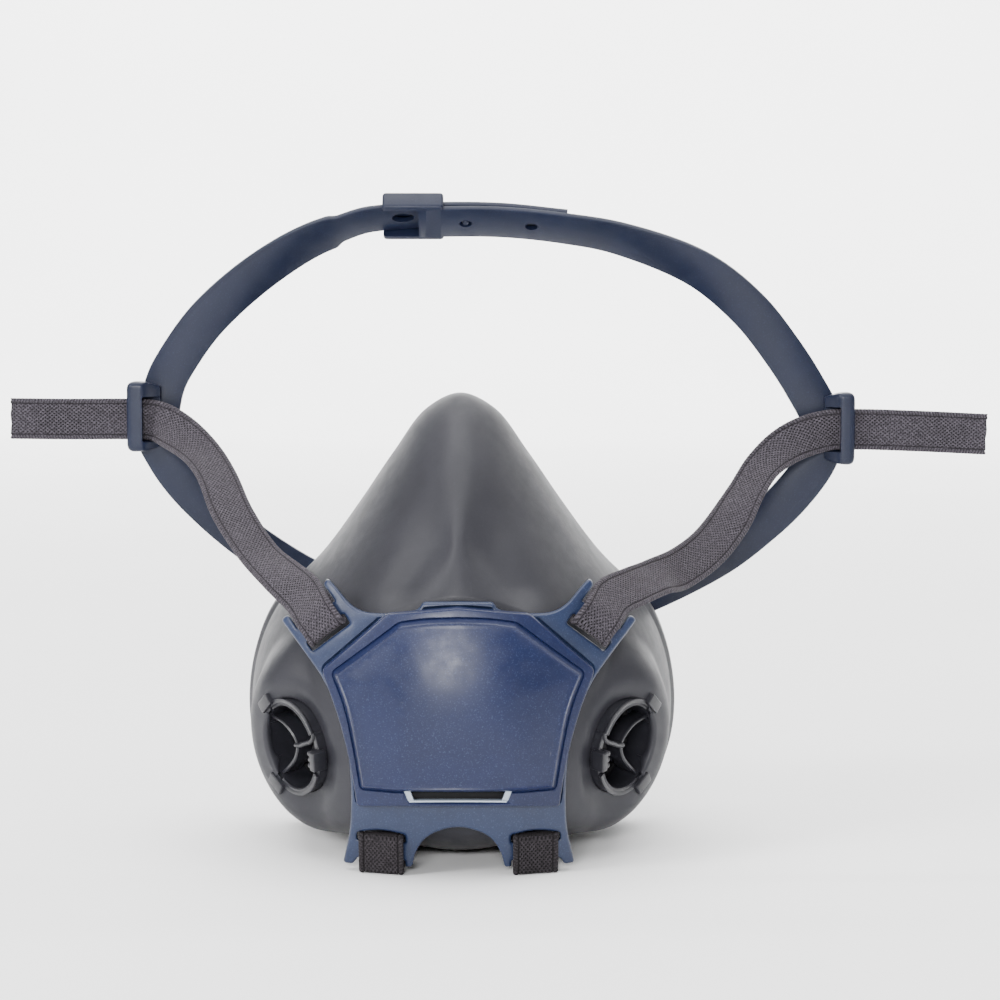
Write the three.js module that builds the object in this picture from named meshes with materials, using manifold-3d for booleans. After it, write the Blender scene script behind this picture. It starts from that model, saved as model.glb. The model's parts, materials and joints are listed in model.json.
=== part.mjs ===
// A reusable half-mask respirator, without filters, standing on its chin.
// Millimetres, +Z up. The wearer's face is on the +Y side, the mask looks along -Y, and X = 0 is
// the mask's plane of symmetry. The origin is the middle of the flat under the chin.
// "left" and "right" are as seen by someone who faces the mask, so left is -X.
import * as THREE from 'three';
import { mergeVertices } from 'three/addons/utils/BufferGeometryUtils.js';
import Module from 'manifold-3d';

const wasm = await Module();
wasm.setup();

// ---- Driving dimensions ------------------------------------------------------------------
const GAP = 0.3;                 // clearance between neighbouring pieces
const WALL = 2.3;                // rubber wall of the facepiece
const LIP = 11;                  // width of the in-turned face seal

const DOME_Y = -47;              // front of the yoke on the symmetry plane, at DOME_Z
const DOME_Z = 40;
const DOME_RX = 150;             // the dome falls away as x*x / DOME_RX
const DOME_RZ = 300;
const YOKE_T = 2.4;
const HOUSING_T = 2.4;

const VALVE_Z = 48;              // centre of the exhalation valve
const VALVE_R = 14.4;            // exhalation flap
const WINDOW_R = 17.4;           // window in the yoke round the valve seat
const SEAT_Y = -46.6;            // plane on which the exhalation flap seals
const SEAT_R = 15.4;             // outside of the valve seat's tube
const SEAT_BORE = 11.8;
const SEAT_DEEP = 6.4;           // from the seat to the back end of its tube
const STEM_HOLE = 1.3;           // hole in the seat's hub for the flap's stem

const COVER_EDGE = 4.2;          // height of the cover's shoulder over the yoke
const COVER_PANEL = 5.6;         // height of its raised panel
const COVER_WALL = 1.6;

const PORT_X = 46.4;             // bayonet port, on its seat in the boss
const PORT_Y = -18.6;
const PORT_Z = 34.4;
const PORT_YAW = 53;             // degrees that the port looks outward
const PORT_DIP = 9;              // degrees that it looks down
const PORT_R = 14.4;             // outside of the port's tube
const PORT_BORE = 12.8;
const PORT_RIM = 4.6;            // height of its mouth over the boss
const PORT_INNER = -9.6;         // inner end of the tube, where the inhalation flap seals
const BOSS_R = 19.2;             // thick rubber boss round each port
const BOSS_T = 6.2;
const BOSS_RISE = 4.2;           // height of the boss over the seat, on the side away from the cover
const SEAT_REACH = 16.6;         // radius of the port's seat in the boss
const FLANGE_T = 1.9;            // top of the flange with which a port sits on its boss
const HUB_R = 2.8;               // hub and web inside a port, at its inner end
const WEB_T = 3.4;

const ELASTIC_W = 13;
const ELASTIC_T = 1.3;
const LOOP_X = 22.3;             // centre line of each neck strap
const BAR_Z = [4.2, 9.6];        // bar of the yoke that a neck strap runs round
const SLOT_TOP = 12.4;
const SLOT_HALF = 7.1;           // half the length of every strap slot

const FORK = { x: 36.6, z: 68.2, angle: 52 };   // slot line of the upper forks, and their slant
const FORK_BAR = [3.4, 7.6];     // bar of the fork, measured along it from the slot line

const BAND_T = 1.9;              // flexible bands of the head harness
const FLOOR_Z = 1.7;             // underside of the facepiece where the neck straps pass under it
const REST_X = 12.5;             // half-width of the flat under the chin

const rad = THREE.MathUtils.degToRad;

// ---- Solids ------------------------------------------------------------------------------
function solidOf(geometry) {
  const bare = geometry.clone();
  bare.deleteAttribute('normal');
  bare.deleteAttribute('uv');
  const merged = mergeVertices(bare, 1e-4);
  return new wasm.Manifold(new wasm.Mesh({
    numProp: 3,
    vertProperties: new Float32Array(merged.attributes.position.array),
    triVerts: new Uint32Array(merged.index.array),
  }));
}

function geometryOf(solid) {
  const mesh = solid.getMesh();
  const geometry = new THREE.BufferGeometry();
  geometry.setAttribute('position', new THREE.BufferAttribute(new Float32Array(mesh.vertProperties), 3));
  geometry.setIndex(new THREE.BufferAttribute(new Uint32Array(mesh.triVerts), 1));
  return geometry;
}

// A solid from rings of points: each ring is a closed section. The ends are capped, or the last
// ring joins the first when `closed` is true.
function loft(rings, closed = false) {
  const n = rings[0].length;
  const positions = rings.flat().flatMap((p) => [p.x, p.y, p.z]);
  const index = [];
  const spans = closed ? rings.length : rings.length - 1;
  for (let i = 0; i < spans; i += 1) {
    const a = i * n;
    const b = ((i + 1) % rings.length) * n;
    for (let j = 0; j < n; j += 1) {
      const k = (j + 1) % n;
      index.push(a + j, b + j, b + k, a + j, b + k, a + k);
    }
  }
  if (!closed) {
    const last = (rings.length - 1) * n;
    for (let j = 1; j < n - 1; j += 1) {
      index.push(0, j, j + 1, last, last + j + 1, last + j);
    }
  }
  const geometry = new THREE.BufferGeometry();
  geometry.setAttribute('position', new THREE.Float32BufferAttribute(positions, 3));
  geometry.setIndex(index);
  return outward(geometry);
}

// Turns a closed geometry's faces outward if its volume comes out negative.
function outward(geometry) {
  const p = geometry.attributes.position;
  const index = geometry.index.array;
  const [a, b, c] = [new THREE.Vector3(), new THREE.Vector3(), new THREE.Vector3()];
  let volume = 0;
  for (let i = 0; i < index.length; i += 3) {
    a.fromBufferAttribute(p, index[i]);
    b.fromBufferAttribute(p, index[i + 1]);
    c.fromBufferAttribute(p, index[i + 2]);
    volume += a.dot(b.cross(c));
  }
  if (volume < 0) {
    for (let i = 0; i < index.length; i += 3) {
      [index[i + 1], index[i + 2]] = [index[i + 2], index[i + 1]];
    }
  }
  return geometry;
}

function box(x, y, z) {
  const geometry = new THREE.BoxGeometry(x[1] - x[0], y[1] - y[0], z[1] - z[0]);
  geometry.translate((x[0] + x[1]) / 2, (y[0] + y[1]) / 2, (z[0] + z[1]) / 2);
  return solidOf(geometry);
}

// An outline in the XZ plane, extruded from y0 to y1.
function prism(shape, y0 = -90, y1 = 40) {
  const geometry = new THREE.ExtrudeGeometry(shape, {
    depth: y1 - y0, bevelEnabled: false, curveSegments: 4,
  });
  geometry.rotateX(Math.PI / 2);
  geometry.translate(0, y1, 0);
  return solidOf(geometry);
}

// A closed shape with every corner rounded by the radius in its point's third place.
function rounded(points) {
  const corner = points.map(([x, z]) => new THREE.Vector2(x, z));
  const n = points.length;
  const shape = new THREE.Shape();
  points.forEach(([, , radius = 0], i) => {
    const here = corner[i];
    const before = corner[(i + n - 1) % n];
    const after = corner[(i + 1) % n];
    const cut = (other) => Math.min(radius, here.distanceTo(other) * 0.48);
    const start = here.clone().lerp(before, cut(before) / here.distanceTo(before));
    const end = here.clone().lerp(after, cut(after) / here.distanceTo(after));
    if (i === 0) shape.moveTo(start.x, start.y);
    else shape.lineTo(start.x, start.y);
    if (radius > 0) shape.quadraticCurveTo(here.x, here.y, end.x, end.y);
  });
  shape.closePath();
  return shape;
}

// The right half of an outline, from top to bottom, completed by its mirror image.
const mirrored = (half) => [
  ...half,
  ...half.slice().reverse().filter(([x]) => x !== 0).map(([x, z, r]) => [-x, z, r]),
];

function ringSolid(inner, outer, low, high, segments = 32) {
  const profile = [[inner, low], [outer, low], [outer, high], [inner, high], [inner, low]];
  return solidOf(new THREE.LatheGeometry(profile.map(([r, y]) => new THREE.Vector2(r, y)), segments));
}

function disc(radius, low, high, segments = 32) {
  const profile = [[0, low], [radius, low], [radius, high], [0, high]];
  return solidOf(new THREE.LatheGeometry(profile.map(([r, y]) => new THREE.Vector2(r, y)), segments));
}

// Turns a solid round the Y axis.
function turned(solid, degrees) {
  const geometry = geometryOf(solid);
  geometry.rotateY(rad(degrees));
  return solidOf(geometry);
}

// ---- The dome that the yoke, the housing and the cover share -------------------------------
const domeY = (x, z) => DOME_Y + (x * x) / DOME_RX + ((z - DOME_Z) ** 2) / DOME_RZ;

// A domed sheet from `front` to `back`, both measured behind the dome.
function domeSheet(front, back) {
  const geometry = new THREE.BoxGeometry(124, 1, 108, 16, 1, 12);
  geometry.translate(0, 0.5, 44);
  const p = geometry.attributes.position;
  for (let i = 0; i < p.count; i += 1) {
    const offset = p.getY(i) < 0.5 ? front : back;
    p.setY(i, domeY(p.getX(i), p.getZ(i)) + offset);
  }
  return solidOf(geometry);
}

const domed = (shape, front, back) => prism(shape).intersect(domeSheet(front, back));

// ---- Facepiece -----------------------------------------------------------------------------
// Ribs run from the front ring to the rear rim, over the right half, from the nose to the chin.
// Each is a Bezier curve: front ring [x, z], two handles and the rim.
const RIBS = [
  { front: [0, 80], lead: [0, -33, 98], trail: [0, -7, 140.6], rim: [0, 13, 136.6] },
  { front: [7, 79.5], lead: [7.5, -31, 97], trail: [10.2, -5, 133], rim: [10.4, 14, 132] },
  { front: [14, 78], lead: [16, -28, 93], trail: [20.2, -3, 119], rim: [20.6, 17, 118.5] },
  { front: [20.5, 75.5], lead: [25, -26, 86], trail: [30.7, -2, 103], rim: [31.1, 22, 103] },
  { front: [25.5, 70.5], lead: [33, -26, 78], trail: [41, 0, 88.5], rim: [42, 28, 88] },
  { front: [29, 62.5], lead: [42, -27, 67], trail: [56, 0, 71.5], rim: [58, 36, 70] },
  { front: [30, 53], lead: [47, -28, 56], trail: [63, -2, 57.5], rim: [64, 40, 56] },
  { front: [29.5, 43], lead: [49, -28, 43], trail: [65.5, -2, 41], rim: [66.5, 42, 40] },
  { front: [28.5, 33], lead: [48, -28, 30], trail: [64, -2, 26], rim: [65, 42, 26] },
  { front: [27, 25], lead: [43, -29, 19], trail: [58, -4, 14], rim: [60, 40, 14.5] },
  { front: [23.5, 19.5], lead: [36, -32, 11], trail: [49, -8, 5], rim: [51, 37, 6.5] },
  { front: [17.5, 18], lead: [24, -34, 10], trail: [36, -15, 1.2], rim: [39, 34, 3] },
  { front: [9, 18], lead: [12, -37, 9], trail: [19, -23, -0.6], rim: [21, 32, 2.0] },
  { front: [0, 18], lead: [0, -38, 9], trail: [0, -27, -3], rim: [0, 31, -0.3] },
];
const RIB_STEPS = 10;
const AROUND = 64;

function facepieceColumns() {
  const half = RIBS.map(({ front, lead, trail, rim }) => {
    const start = new THREE.Vector3(front[0], domeY(...front) + YOKE_T + GAP + 0.15, front[1]);
    return new THREE.CubicBezierCurve3(start, new THREE.Vector3(...lead),
      new THREE.Vector3(...trail), new THREE.Vector3(...rim)).getPoints(RIB_STEPS);
  });
  const flip = (points) => points.map((p) => new THREE.Vector3(-p.x, p.y, p.z));
  const whole = [...half, ...half.slice(1, -1).reverse().map(flip)];
  return Array.from({ length: RIB_STEPS + 1 }, (_, i) => (
    new THREE.CatmullRomCurve3(whole.map((rib) => rib[i]), true, 'centripetal')
  ));
}

function facepieceShell() {
  const hoops = facepieceColumns();
  const outer = [];
  for (let k = 0; k < AROUND; k += 1) outer.push(hoops.map((hoop) => hoop.getPoint(k / AROUND)));
  return outer.map((column, k) => {
    const next = outer[(k + 1) % AROUND];
    const last = outer[(k + AROUND - 1) % AROUND];
    const inner = column.map((p, i) => {
      const along = column[Math.min(i + 1, RIB_STEPS)].clone().sub(column[Math.max(i - 1, 0)]);
      const around = next[i].clone().sub(last[i]);
      return p.clone().addScaledVector(along.cross(around).normalize(), WALL);
    });
    // The seal turns in from the rim, towards the middle of the face opening.
    const rim = column[RIB_STEPS];
    const inward = new THREE.Vector3(-rim.x, 0, 58 - rim.z).normalize();
    const lipEdge = rim.clone().addScaledVector(inward, LIP).add(new THREE.Vector3(0, -4, 0));
    const lipRear = rim.clone().addScaledVector(inward, LIP * 0.45).add(new THREE.Vector3(0, 1.2, 0));
    const lipInside = lipEdge.clone().add(new THREE.Vector3(0, -1.5, 0));
    const lipFront = lipRear.clone().add(new THREE.Vector3(0, -2, 0));
    inner[RIB_STEPS].y = rim.y - 1.8;
    return [...column, lipRear, lipEdge, lipInside, lipFront, ...inner.reverse()];
  });
}

// Puts a solid made round the Y axis of a lathe on a port: its axis becomes the port's, and its
// X axis points away from the cover on both sides, so the right port mirrors the left one.
function onPort(solid, side) {
  const [yaw, dip] = [rad(PORT_YAW), rad(PORT_DIP)];
  const away = new THREE.Vector3(Math.cos(yaw) * side, Math.sin(yaw), 0);
  const ahead = new THREE.Vector3(Math.sin(yaw) * side, -Math.cos(yaw), 0);
  const down = new THREE.Vector3(0, 0, -1);
  const axis = ahead.clone().multiplyScalar(Math.cos(dip)).addScaledVector(down, Math.sin(dip));
  const up = ahead.clone().multiplyScalar(Math.sin(dip)).addScaledVector(down, -Math.cos(dip));
  const matrix = new THREE.Matrix4().makeBasis(away, axis, up);
  matrix.setPosition(PORT_X * side, PORT_Y, PORT_Z);
  const geometry = geometryOf(solid);
  geometry.applyMatrix4(matrix);
  return solidOf(outward(geometry));
}

// Tilts the face of a disc at height 0 to the top of the boss.
function slanted(solid) {
  const geometry = geometryOf(solid);
  const p = geometry.attributes.position;
  for (let i = 0; i < p.count; i += 1) {
    if (Math.abs(p.getY(i)) < 1e-3) p.setY(i, (BOSS_RISE / 2) * (1 + p.getX(i) / BOSS_R));
  }
  return solidOf(geometry);
}

function facepiece() {
  let body = solidOf(loft(facepieceShell(), true));
  for (const side of [-1, 1]) {
    body = body.subtract(onPort(slanted(disc(BOSS_R, 0, 14)), side))
      .add(onPort(slanted(disc(BOSS_R, -BOSS_T, 0)), side))
      .subtract(onPort(disc(SEAT_REACH, 0, 14), side))
      .subtract(onPort(disc(BOSS_R, -18, -BOSS_T), side))
      .subtract(onPort(disc(PORT_R + GAP, -20, 20), side));
  }
  const below = mirrored([[REST_X, 0, 0], [REST_X + 2.9, FLOOR_Z, 0], [80, FLOOR_Z, 0], [80, -12, 0]]);
  return body.subtract(prism(rounded(below)));
}

// ---- Valve housing, exhalation flap, yoke and cover ----------------------------------------
const frontRing = () => {
  const hoop = facepieceColumns()[0];
  const inset = WALL + GAP + 0.4;
  return new THREE.Shape(hoop.getSpacedPoints(56).slice(0, 56).map((p) => {
    const toCentre = new THREE.Vector2(-p.x, 50 - p.z).normalize().multiplyScalar(inset);
    return new THREE.Vector2(p.x + toCentre.x, p.z + toCentre.y);
  }));
};

// A solid of revolution made round Y, moved to the exhalation valve with its top facing -Y.
function onValve(solid) {
  const geometry = geometryOf(solid);
  geometry.rotateX(Math.PI);
  geometry.translate(0, SEAT_Y, VALVE_Z);
  return solidOf(geometry);
}

function valveHousing() {
  const back = YOKE_T + GAP;
  const low = -SEAT_DEEP + 1;
  let body = domed(frontRing(), back, back + HOUSING_T)
    .subtract(onValve(disc(SEAT_BORE, -12, 6)))
    .add(onValve(ringSolid(SEAT_BORE, SEAT_R, -SEAT_DEEP, 0)));
  for (const turn of [90, 210, 330]) {
    const spoke = box([-1.1, 1.1], [low, -1.6], [STEM_HOLE + GAP, SEAT_BORE + 0.6]);
    body = body.add(onValve(turned(spoke, turn)));
  }
  return body.add(onValve(disc(HUB_R, low, -1.0))).subtract(onValve(disc(STEM_HOLE, -20, 6, 20)));
}

function exhalationFlap() {
  const stem = [STEM_HOLE - GAP, -SEAT_DEEP - 0.8];
  const profile = [[0, 1.2], [VALVE_R * 0.5, 1.05], [VALVE_R, 0.75], [VALVE_R, GAP],
    [stem[0], GAP], stem, [0, stem[1]]];
  const points = profile.map(([r, y]) => new THREE.Vector2(r, y)).reverse();
  return onValve(solidOf(new THREE.LatheGeometry(points, 32)));
}

// A point of a fork, `s` along the strap from the slot line and `q` across it, outward.
function forkPoint(s, q, radius = 0) {
  const [c, d] = [Math.cos(rad(FORK.angle)), Math.sin(rad(FORK.angle))];
  return [FORK.x + s * c + q * d, FORK.z + s * d - q * c, radius];
}

const PRONG = 2.1;               // width of a fork's prong beside the slot
const yokeHalf = () => [
  [0, 79.4, 0], [10, 79.2, 1], [11.4, 76.9, 1.5], [20.5, 75.6, 2], [27, 75.6, 4], [31.4, 77.8, 4],
  forkPoint(10, -SLOT_HALF - PRONG - 0.6, 6), forkPoint(14, -SLOT_HALF - PRONG, 1.2),
  forkPoint(13.4, -SLOT_HALF, 1), forkPoint(FORK_BAR[1], -SLOT_HALF, 0.5),
  forkPoint(FORK_BAR[1], SLOT_HALF, 0.5), forkPoint(12.4, SLOT_HALF, 1),
  forkPoint(12.6, SLOT_HALF + PRONG + 0.5, 1.2), forkPoint(0, SLOT_HALF + PRONG, 8),
  [38.4, 55.5, 8], [34.2, 46, 8], [31.6, 36, 8], [30.8, 24, 8], [31.2, 13, 6], [32.8, 6, 4],
  [33.6, 2.2, 0.8], [30.9, 1.9, 0.8], [29.2, BAR_Z[0], 0.4], [15.4, BAR_Z[0], 0.4],
  [15.2, 2.2, 0.6], [13.4, 2.2, 0.8], [12.2, 7.4, 4], [8.6, 12, 5], [0, 14, 0],
];

function slot(points) {
  return rounded(points.map(([x, z]) => [x, z, 0.8]));
}

function harnessYoke() {
  let body = domed(rounded(mirrored(yokeHalf())), 0, YOKE_T);
  for (const side of [-1, 1]) {
    const flip = ([x, z]) => [x * side, z];
    const upper = [forkPoint(0, -SLOT_HALF), forkPoint(0, SLOT_HALF),
      forkPoint(FORK_BAR[0], SLOT_HALF), forkPoint(FORK_BAR[0], -SLOT_HALF)];
    const lower = [[LOOP_X - SLOT_HALF, BAR_Z[1]], [LOOP_X + SLOT_HALF, BAR_Z[1]],
      [LOOP_X + SLOT_HALF, SLOT_TOP], [LOOP_X - SLOT_HALF, SLOT_TOP]];
    body = body.subtract(prism(slot(upper.map(flip)))).subtract(prism(slot(lower.map(flip))));
  }
  return body.subtract(onValve(disc(WINDOW_R, -20, 20)));
}

const coverHalf = (inset = 0) => [
  [0, 78.2 - inset, 0], [20.4 - inset * 0.5, 76.2 - inset, 2.5], [39.3 - inset, 59.4, 4],
  [34.2 - inset, 46.5, 12], [31 - inset, 34, 12], [29 - inset, 20.8 + inset, 2],
  [14, 21.7 + inset, 0], [0, 21.9 + inset, 0],
];
const panelHalf = [
  [0, 75.2, 0], [16.8, 73.6, 3], [34.6, 58.6, 4], [30, 46.5, 10], [28.2, 36, 10], [26.4, 26.6, 2.5],
  [0, 26.6, 0],
];

function exhalationCover() {
  const shell = domed(rounded(mirrored(coverHalf())), -COVER_EDGE, -GAP);
  const panel = domed(rounded(mirrored(panelHalf)), -COVER_PANEL, -COVER_EDGE + 0.4);
  const hollow = domed(rounded(mirrored(coverHalf(1.8))), -COVER_EDGE + COVER_WALL, 2);
  const deeper = domed(rounded(mirrored(panelHalf.map(([x, z, r]) => [x * 0.95, 50 + (z - 50) * 0.95, r]))),
    -COVER_PANEL + COVER_WALL, 0);
  const outlet = rounded([[-14.6, 25.4, 0.6], [14.6, 25.4, 0.6], [13.6, 22.9, 0.6], [-13.6, 22.9, 0.6]]);
  return shell.add(panel).subtract(hollow).subtract(deeper)
    .subtract(prism(outlet));
}

// ---- Bayonet ports -------------------------------------------------------------------------
// Made round the Y axis: y is the height over the boss, z is up and x points away from the cover.
// Turns are in degrees from the top, away from the cover.
const LUGS = [{ turn: 20, half: 3.6 }, { turn: 172, half: 3.6 }, { turn: 268, half: 5 }];
const WEB_TURNS = [57, 132, 270];
const PIN_R = 0.8;               // pin of the inhalation flap

function portHousing() {
  let body = ringSolid(PORT_BORE, PORT_R, PORT_INNER, PORT_RIM)
    .add(ringSolid(PORT_BORE, SEAT_REACH - GAP, GAP, FLANGE_T));
  for (const { turn, half } of LUGS) {
    body = body.add(turned(box([-half, half], [2.5, PORT_RIM], [PORT_R - 1, SEAT_REACH - 0.9]), turn));
  }
  for (const turn of WEB_TURNS) {
    const web = box([-1, 1], [PORT_INNER, PORT_INNER + WEB_T], [PIN_R, PORT_BORE + 0.5]);
    body = body.add(turned(web, turn));
  }
  return body.add(disc(HUB_R, PORT_INNER, PORT_INNER + WEB_T + 0.4, 24))
    .subtract(disc(PIN_R + GAP, PORT_INNER - 2, 8, 16));
}

function inhalationFlap() {
  const top = PORT_INNER - GAP;
  const rim = PORT_BORE + 0.6;
  const profile = [[0, top - 0.8], [rim, top - 0.6], [rim, top], [PIN_R, top], [PIN_R, top + WEB_T],
    [0, top + WEB_T]];
  return solidOf(new THREE.LatheGeometry(profile.map(([r, y]) => new THREE.Vector2(r, y)), 32));
}

const portRetainer = () => (
  ringSolid(PORT_R + GAP, SEAT_REACH + 0.6, -BOSS_T - 2.9, -BOSS_T - GAP)
);
const portGasket = () => (
  ringSolid(PORT_BORE - 1.8, PORT_BORE - GAP, PORT_INNER + WEB_T + GAP, PORT_INNER + WEB_T + 1.8)
);

// ---- Straps and bands ----------------------------------------------------------------------
const spline = (points, kind) => (
  new THREE.CatmullRomCurve3(points.map((p) => new THREE.Vector3(...p)), false, kind)
);

// A flat ribbon. Each station is its middle [x, y, z] and the direction of its width. `width`
// and `lift`, a shift along the ribbon's normal, may change with t, from 0 to 1 along it.
function ribbon(stations, width, thickness, steps, lift = () => 0) {
  const middle = spline(stations.map(([at]) => at), 'centripetal');
  const across = spline(stations.map(([, to]) => to), 'catmullrom');
  const rings = [];
  for (let i = 0; i <= steps; i += 1) {
    const t = i / steps;
    const along = middle.getTangent(t);
    const side = across.getPoint(t);
    side.addScaledVector(along, -side.dot(along)).normalize();
    const normal = along.clone().cross(side);
    const corner = (s, n) => middle.getPoint(t)
      .addScaledVector(side, (s * width(t)) / 2)
      .addScaledVector(normal, lift(t) + (n * thickness) / 2);
    rings.push([corner(-1, -1), corner(1, -1), corner(1, 1), corner(-1, 1)]);
  }
  return solidOf(loft(rings));
}

// A strap that runs in a plane of constant X: `route` lists the [y, z] points of its middle line.
// Near the yoke its width leans with the dome.
function beltX(route, x, width, thickness) {
  const lean = (y) => ((2 * x) / DOME_RX) * (1 - THREE.MathUtils.smoothstep(y, -30, 25));
  const rings = route.map(([y, z], i) => {
    const [yn, zn] = route[Math.min(i + 1, route.length - 1)];
    const [yp, zp] = route[Math.max(i - 1, 0)];
    const size = Math.hypot(yn - yp, zn - zp) / (thickness / 2);
    const [ny, nz] = [-(zn - zp) / size, (yn - yp) / size];
    const point = (s, n) => {
      const out = (s * width) / 2;
      return new THREE.Vector3(x + out, y + n * ny + out * lean(y), z + n * nz);
    };
    return [point(-1, -1), point(1, -1), point(1, 1), point(-1, 1)];
  });
  return solidOf(loft(rings));
}

// The corner points [y, z] of a route, each inner corner turned by an arc of `radius`.
function filleted(corners, radius, steps = 4) {
  const points = [corners[0]];
  for (let i = 1; i < corners.length - 1; i += 1) {
    const here = new THREE.Vector2(...corners[i]);
    const u = new THREE.Vector2(...corners[i - 1]).sub(here).normalize();
    const v = new THREE.Vector2(...corners[i + 1]).sub(here).normalize();
    const half = Math.acos(THREE.MathUtils.clamp(u.dot(v), -1, 1)) / 2;
    const centre = u.clone().add(v).setLength(radius / Math.sin(half)).add(here);
    const start = u.multiplyScalar(radius / Math.tan(half)).add(here).sub(centre).angle();
    const end = v.multiplyScalar(radius / Math.tan(half)).add(here).sub(centre).angle();
    const sweep = THREE.MathUtils.euclideanModulo(end - start + Math.PI, 2 * Math.PI) - Math.PI;
    for (let k = 0; k <= steps; k += 1) {
      const angle = start + (sweep * k) / steps;
      points.push([centre.x + radius * Math.cos(angle), centre.y + radius * Math.sin(angle)]);
    }
  }
  points.push(corners[corners.length - 1]);
  return points;
}

// The upper straps: the free part from the fork, through the side frame, to the cut tail.
const UPPER_ROUTES = {
  left: [
    [[-45.5, -25.2, 79.3], [0.76, -0.1, 0.62]], [[-52.6, -14, 83.8], [0.85, 0.25, 0.42]],
    [[-61.1, 0, 89.5], [0.87, 0.44, 0.20]], [[-70, 14, 100], [0.91, 0.37, 0.16]],
    [[-76.3, 28, 110.5], [0.90, 0.42, 0.08]], [[-83, 40, 117.2], [0.80, 0.47, 0.37]],
    [[-91.6, 49.5, 122.8], [0.55, 0.25, 0.80]], [[-98.6, 54.9, 125.7], [0.12, 0, 1]],
    [[-107, 55.2, 126.2], [0, 0, 1]], [[-126, 55.2, 126.2], [0, 0, 1]],
    [[-145, 55.2, 126.4], [0.04, 0, 1]],
  ],
  right: [
    [[44.9, -25.2, 78.6], [-0.75, -0.1, 0.63]], [[51.6, -15, 80.6], [-0.56, 0.40, 0.72]],
    [[59.1, -3, 82], [-0.36, 0.68, 0.63]], [[66.5, 9, 83], [-0.28, 0.45, 0.85]],
    [[76, 21, 88], [-0.43, 0.36, 0.82]], [[83.4, 31, 95.2], [-0.65, 0.42, 0.63]],
    [[89.6, 40, 104], [-0.60, 0.70, 0.36]], [[96.3, 47.5, 112.4], [-0.36, 0.72, 0.58]],
    [[105.5, 52.6, 118.9], [-0.2, 0.4, 0.9]], [[116, 55, 122.4], [0, 0, 1]],
    [[125.5, 55.2, 122.9], [0, 0, 1]], [[147, 55.2, 122.3], [0, 0, 1]],
    [[168.2, 55.2, 121.3], [0.03, 0, 1]],
  ],
};

// The strap's turn round the fork's bar: [along the fork, behind the dome].
const FORK_TURN = [[10.5, 4.4], [8, 4.2], [5, 4.1], [2.6, 3.4], [1.75, 1.2], [2.6, -1.1], [5, -1.7],
  [8.5, -1.7]];

function upperStrap(name) {
  const side = name === 'left' ? -1 : 1;
  const [inner, outer] = [forkPoint(0, -0.5), forkPoint(0, 0.5)];
  const across = [inner[0] - outer[0], domeY(...inner) - domeY(...outer), inner[1] - outer[1]];
  const turn = FORK_TURN.map(([s, behind]) => {
    const [x, z] = forkPoint(s, 0);
    return [[x * side, domeY(x, z) + behind, z], [across[0] * side, across[1], across[2]]];
  });
  return ribbon([...turn, ...UPPER_ROUTES[name]], () => ELASTIC_W, ELASTIC_T, 64);
}

// The neck straps: a turn round the yoke's bar, back along the floor under the chin, a flat
// hank of three runs behind the mask, and a turn round the clasp's bar.
const HANK_Y = [58, 114];
const CLASP_Y = 128;

function neckStrap(name) {
  const x = name === 'left' ? -LOOP_X : LOOP_X;
  const half = ELASTIC_T / 2;
  const before = (z) => domeY(LOOP_X, z) - 0.7 - half;
  const behind = (z) => domeY(LOOP_X, z) + YOKE_T + 0.7 + half;
  const over = BAR_Z[1] + 1.6;
  const [floor, second, third] = [half, half * 3 + 0.2, half * 5 + 0.4];
  const route = filleted([
    [behind(0) + 9, second], [behind(2), second], [behind(over), over], [before(over), over],
    [before(0), floor], [HANK_Y[1], floor], [HANK_Y[1], second], [HANK_Y[0], second],
    [HANK_Y[0], third], [HANK_Y[1] + 4, third], [CLASP_Y - 1, 5.1], [CLASP_Y + 4.4, 5.1],
    [CLASP_Y + 4.4, floor], [CLASP_Y - 8, floor],
  ], half + 0.09);
  return beltX(route, x, ELASTIC_W, ELASTIC_T);
}

// A plate lying flat, from z0 to z1: its outline is in XY, with `holes` cut out of it.
function plate(outline, holes, z0, z1) {
  const shape = rounded(outline);
  shape.holes = holes.map((hole) => rounded(hole));
  const geometry = new THREE.ExtrudeGeometry(shape, {
    depth: z1 - z0, bevelEnabled: false, curveSegments: 5,
  });
  geometry.translate(0, 0, z0);
  return solidOf(geometry);
}

const rectangle = (x, y0, y1, r) => [[-x, y0, r], [x, y0, r], [x, y1, r], [-x, y1, r]];

function clasp(window, tip) {
  const y = CLASP_Y;
  const base = plate(rectangle(9.2, y, y + 9, 1.6), [rectangle(6.9, y + 3, y + 6.4, 0.6)], 1.8, 4.2);
  return base.add(plate(rectangle(9.2, y + 7, y + 11, 1), [], 0, 4.2)).add(window).add(tip);
}

function neckClaspLoop() {
  const y = CLASP_Y + 10.5;
  const eye = plate(rectangle(9.2, y, y + 12, 2.5), [rectangle(6.2, y + 2.5, y + 8.5, 1)], 0, 3.0);
  return clasp(eye, box([-9, 9], [y - 2, y + 1], [0, 3.0]));
}

function neckClaspHook() {
  const y = CLASP_Y + 10.5;
  const tongue = plate(rectangle(5.4, y - 2, y + 12, 1.6), [], 2.6, 4.2);
  return clasp(tongue, box([-5.2, 5.2], [y + 9.6, y + 11.6], [0, 4.0]));
}

// ---- Head harness ring ---------------------------------------------------------------------
// Side frames, through which the upper straps run: [x from, to], [z from, to], strap middle z.
const FRAMES = {
  left: { x: [-107.3, -100.3], z: [115.9, 138.3], strap: 126.2 },
  right: { x: [119.5, 125.5], z: [111.7, 134.8], strap: 122.9 },
};
const FRAME_Y = [51.3, 59.2];
const CHANNEL_Y = [53.6, 57.0];

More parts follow.
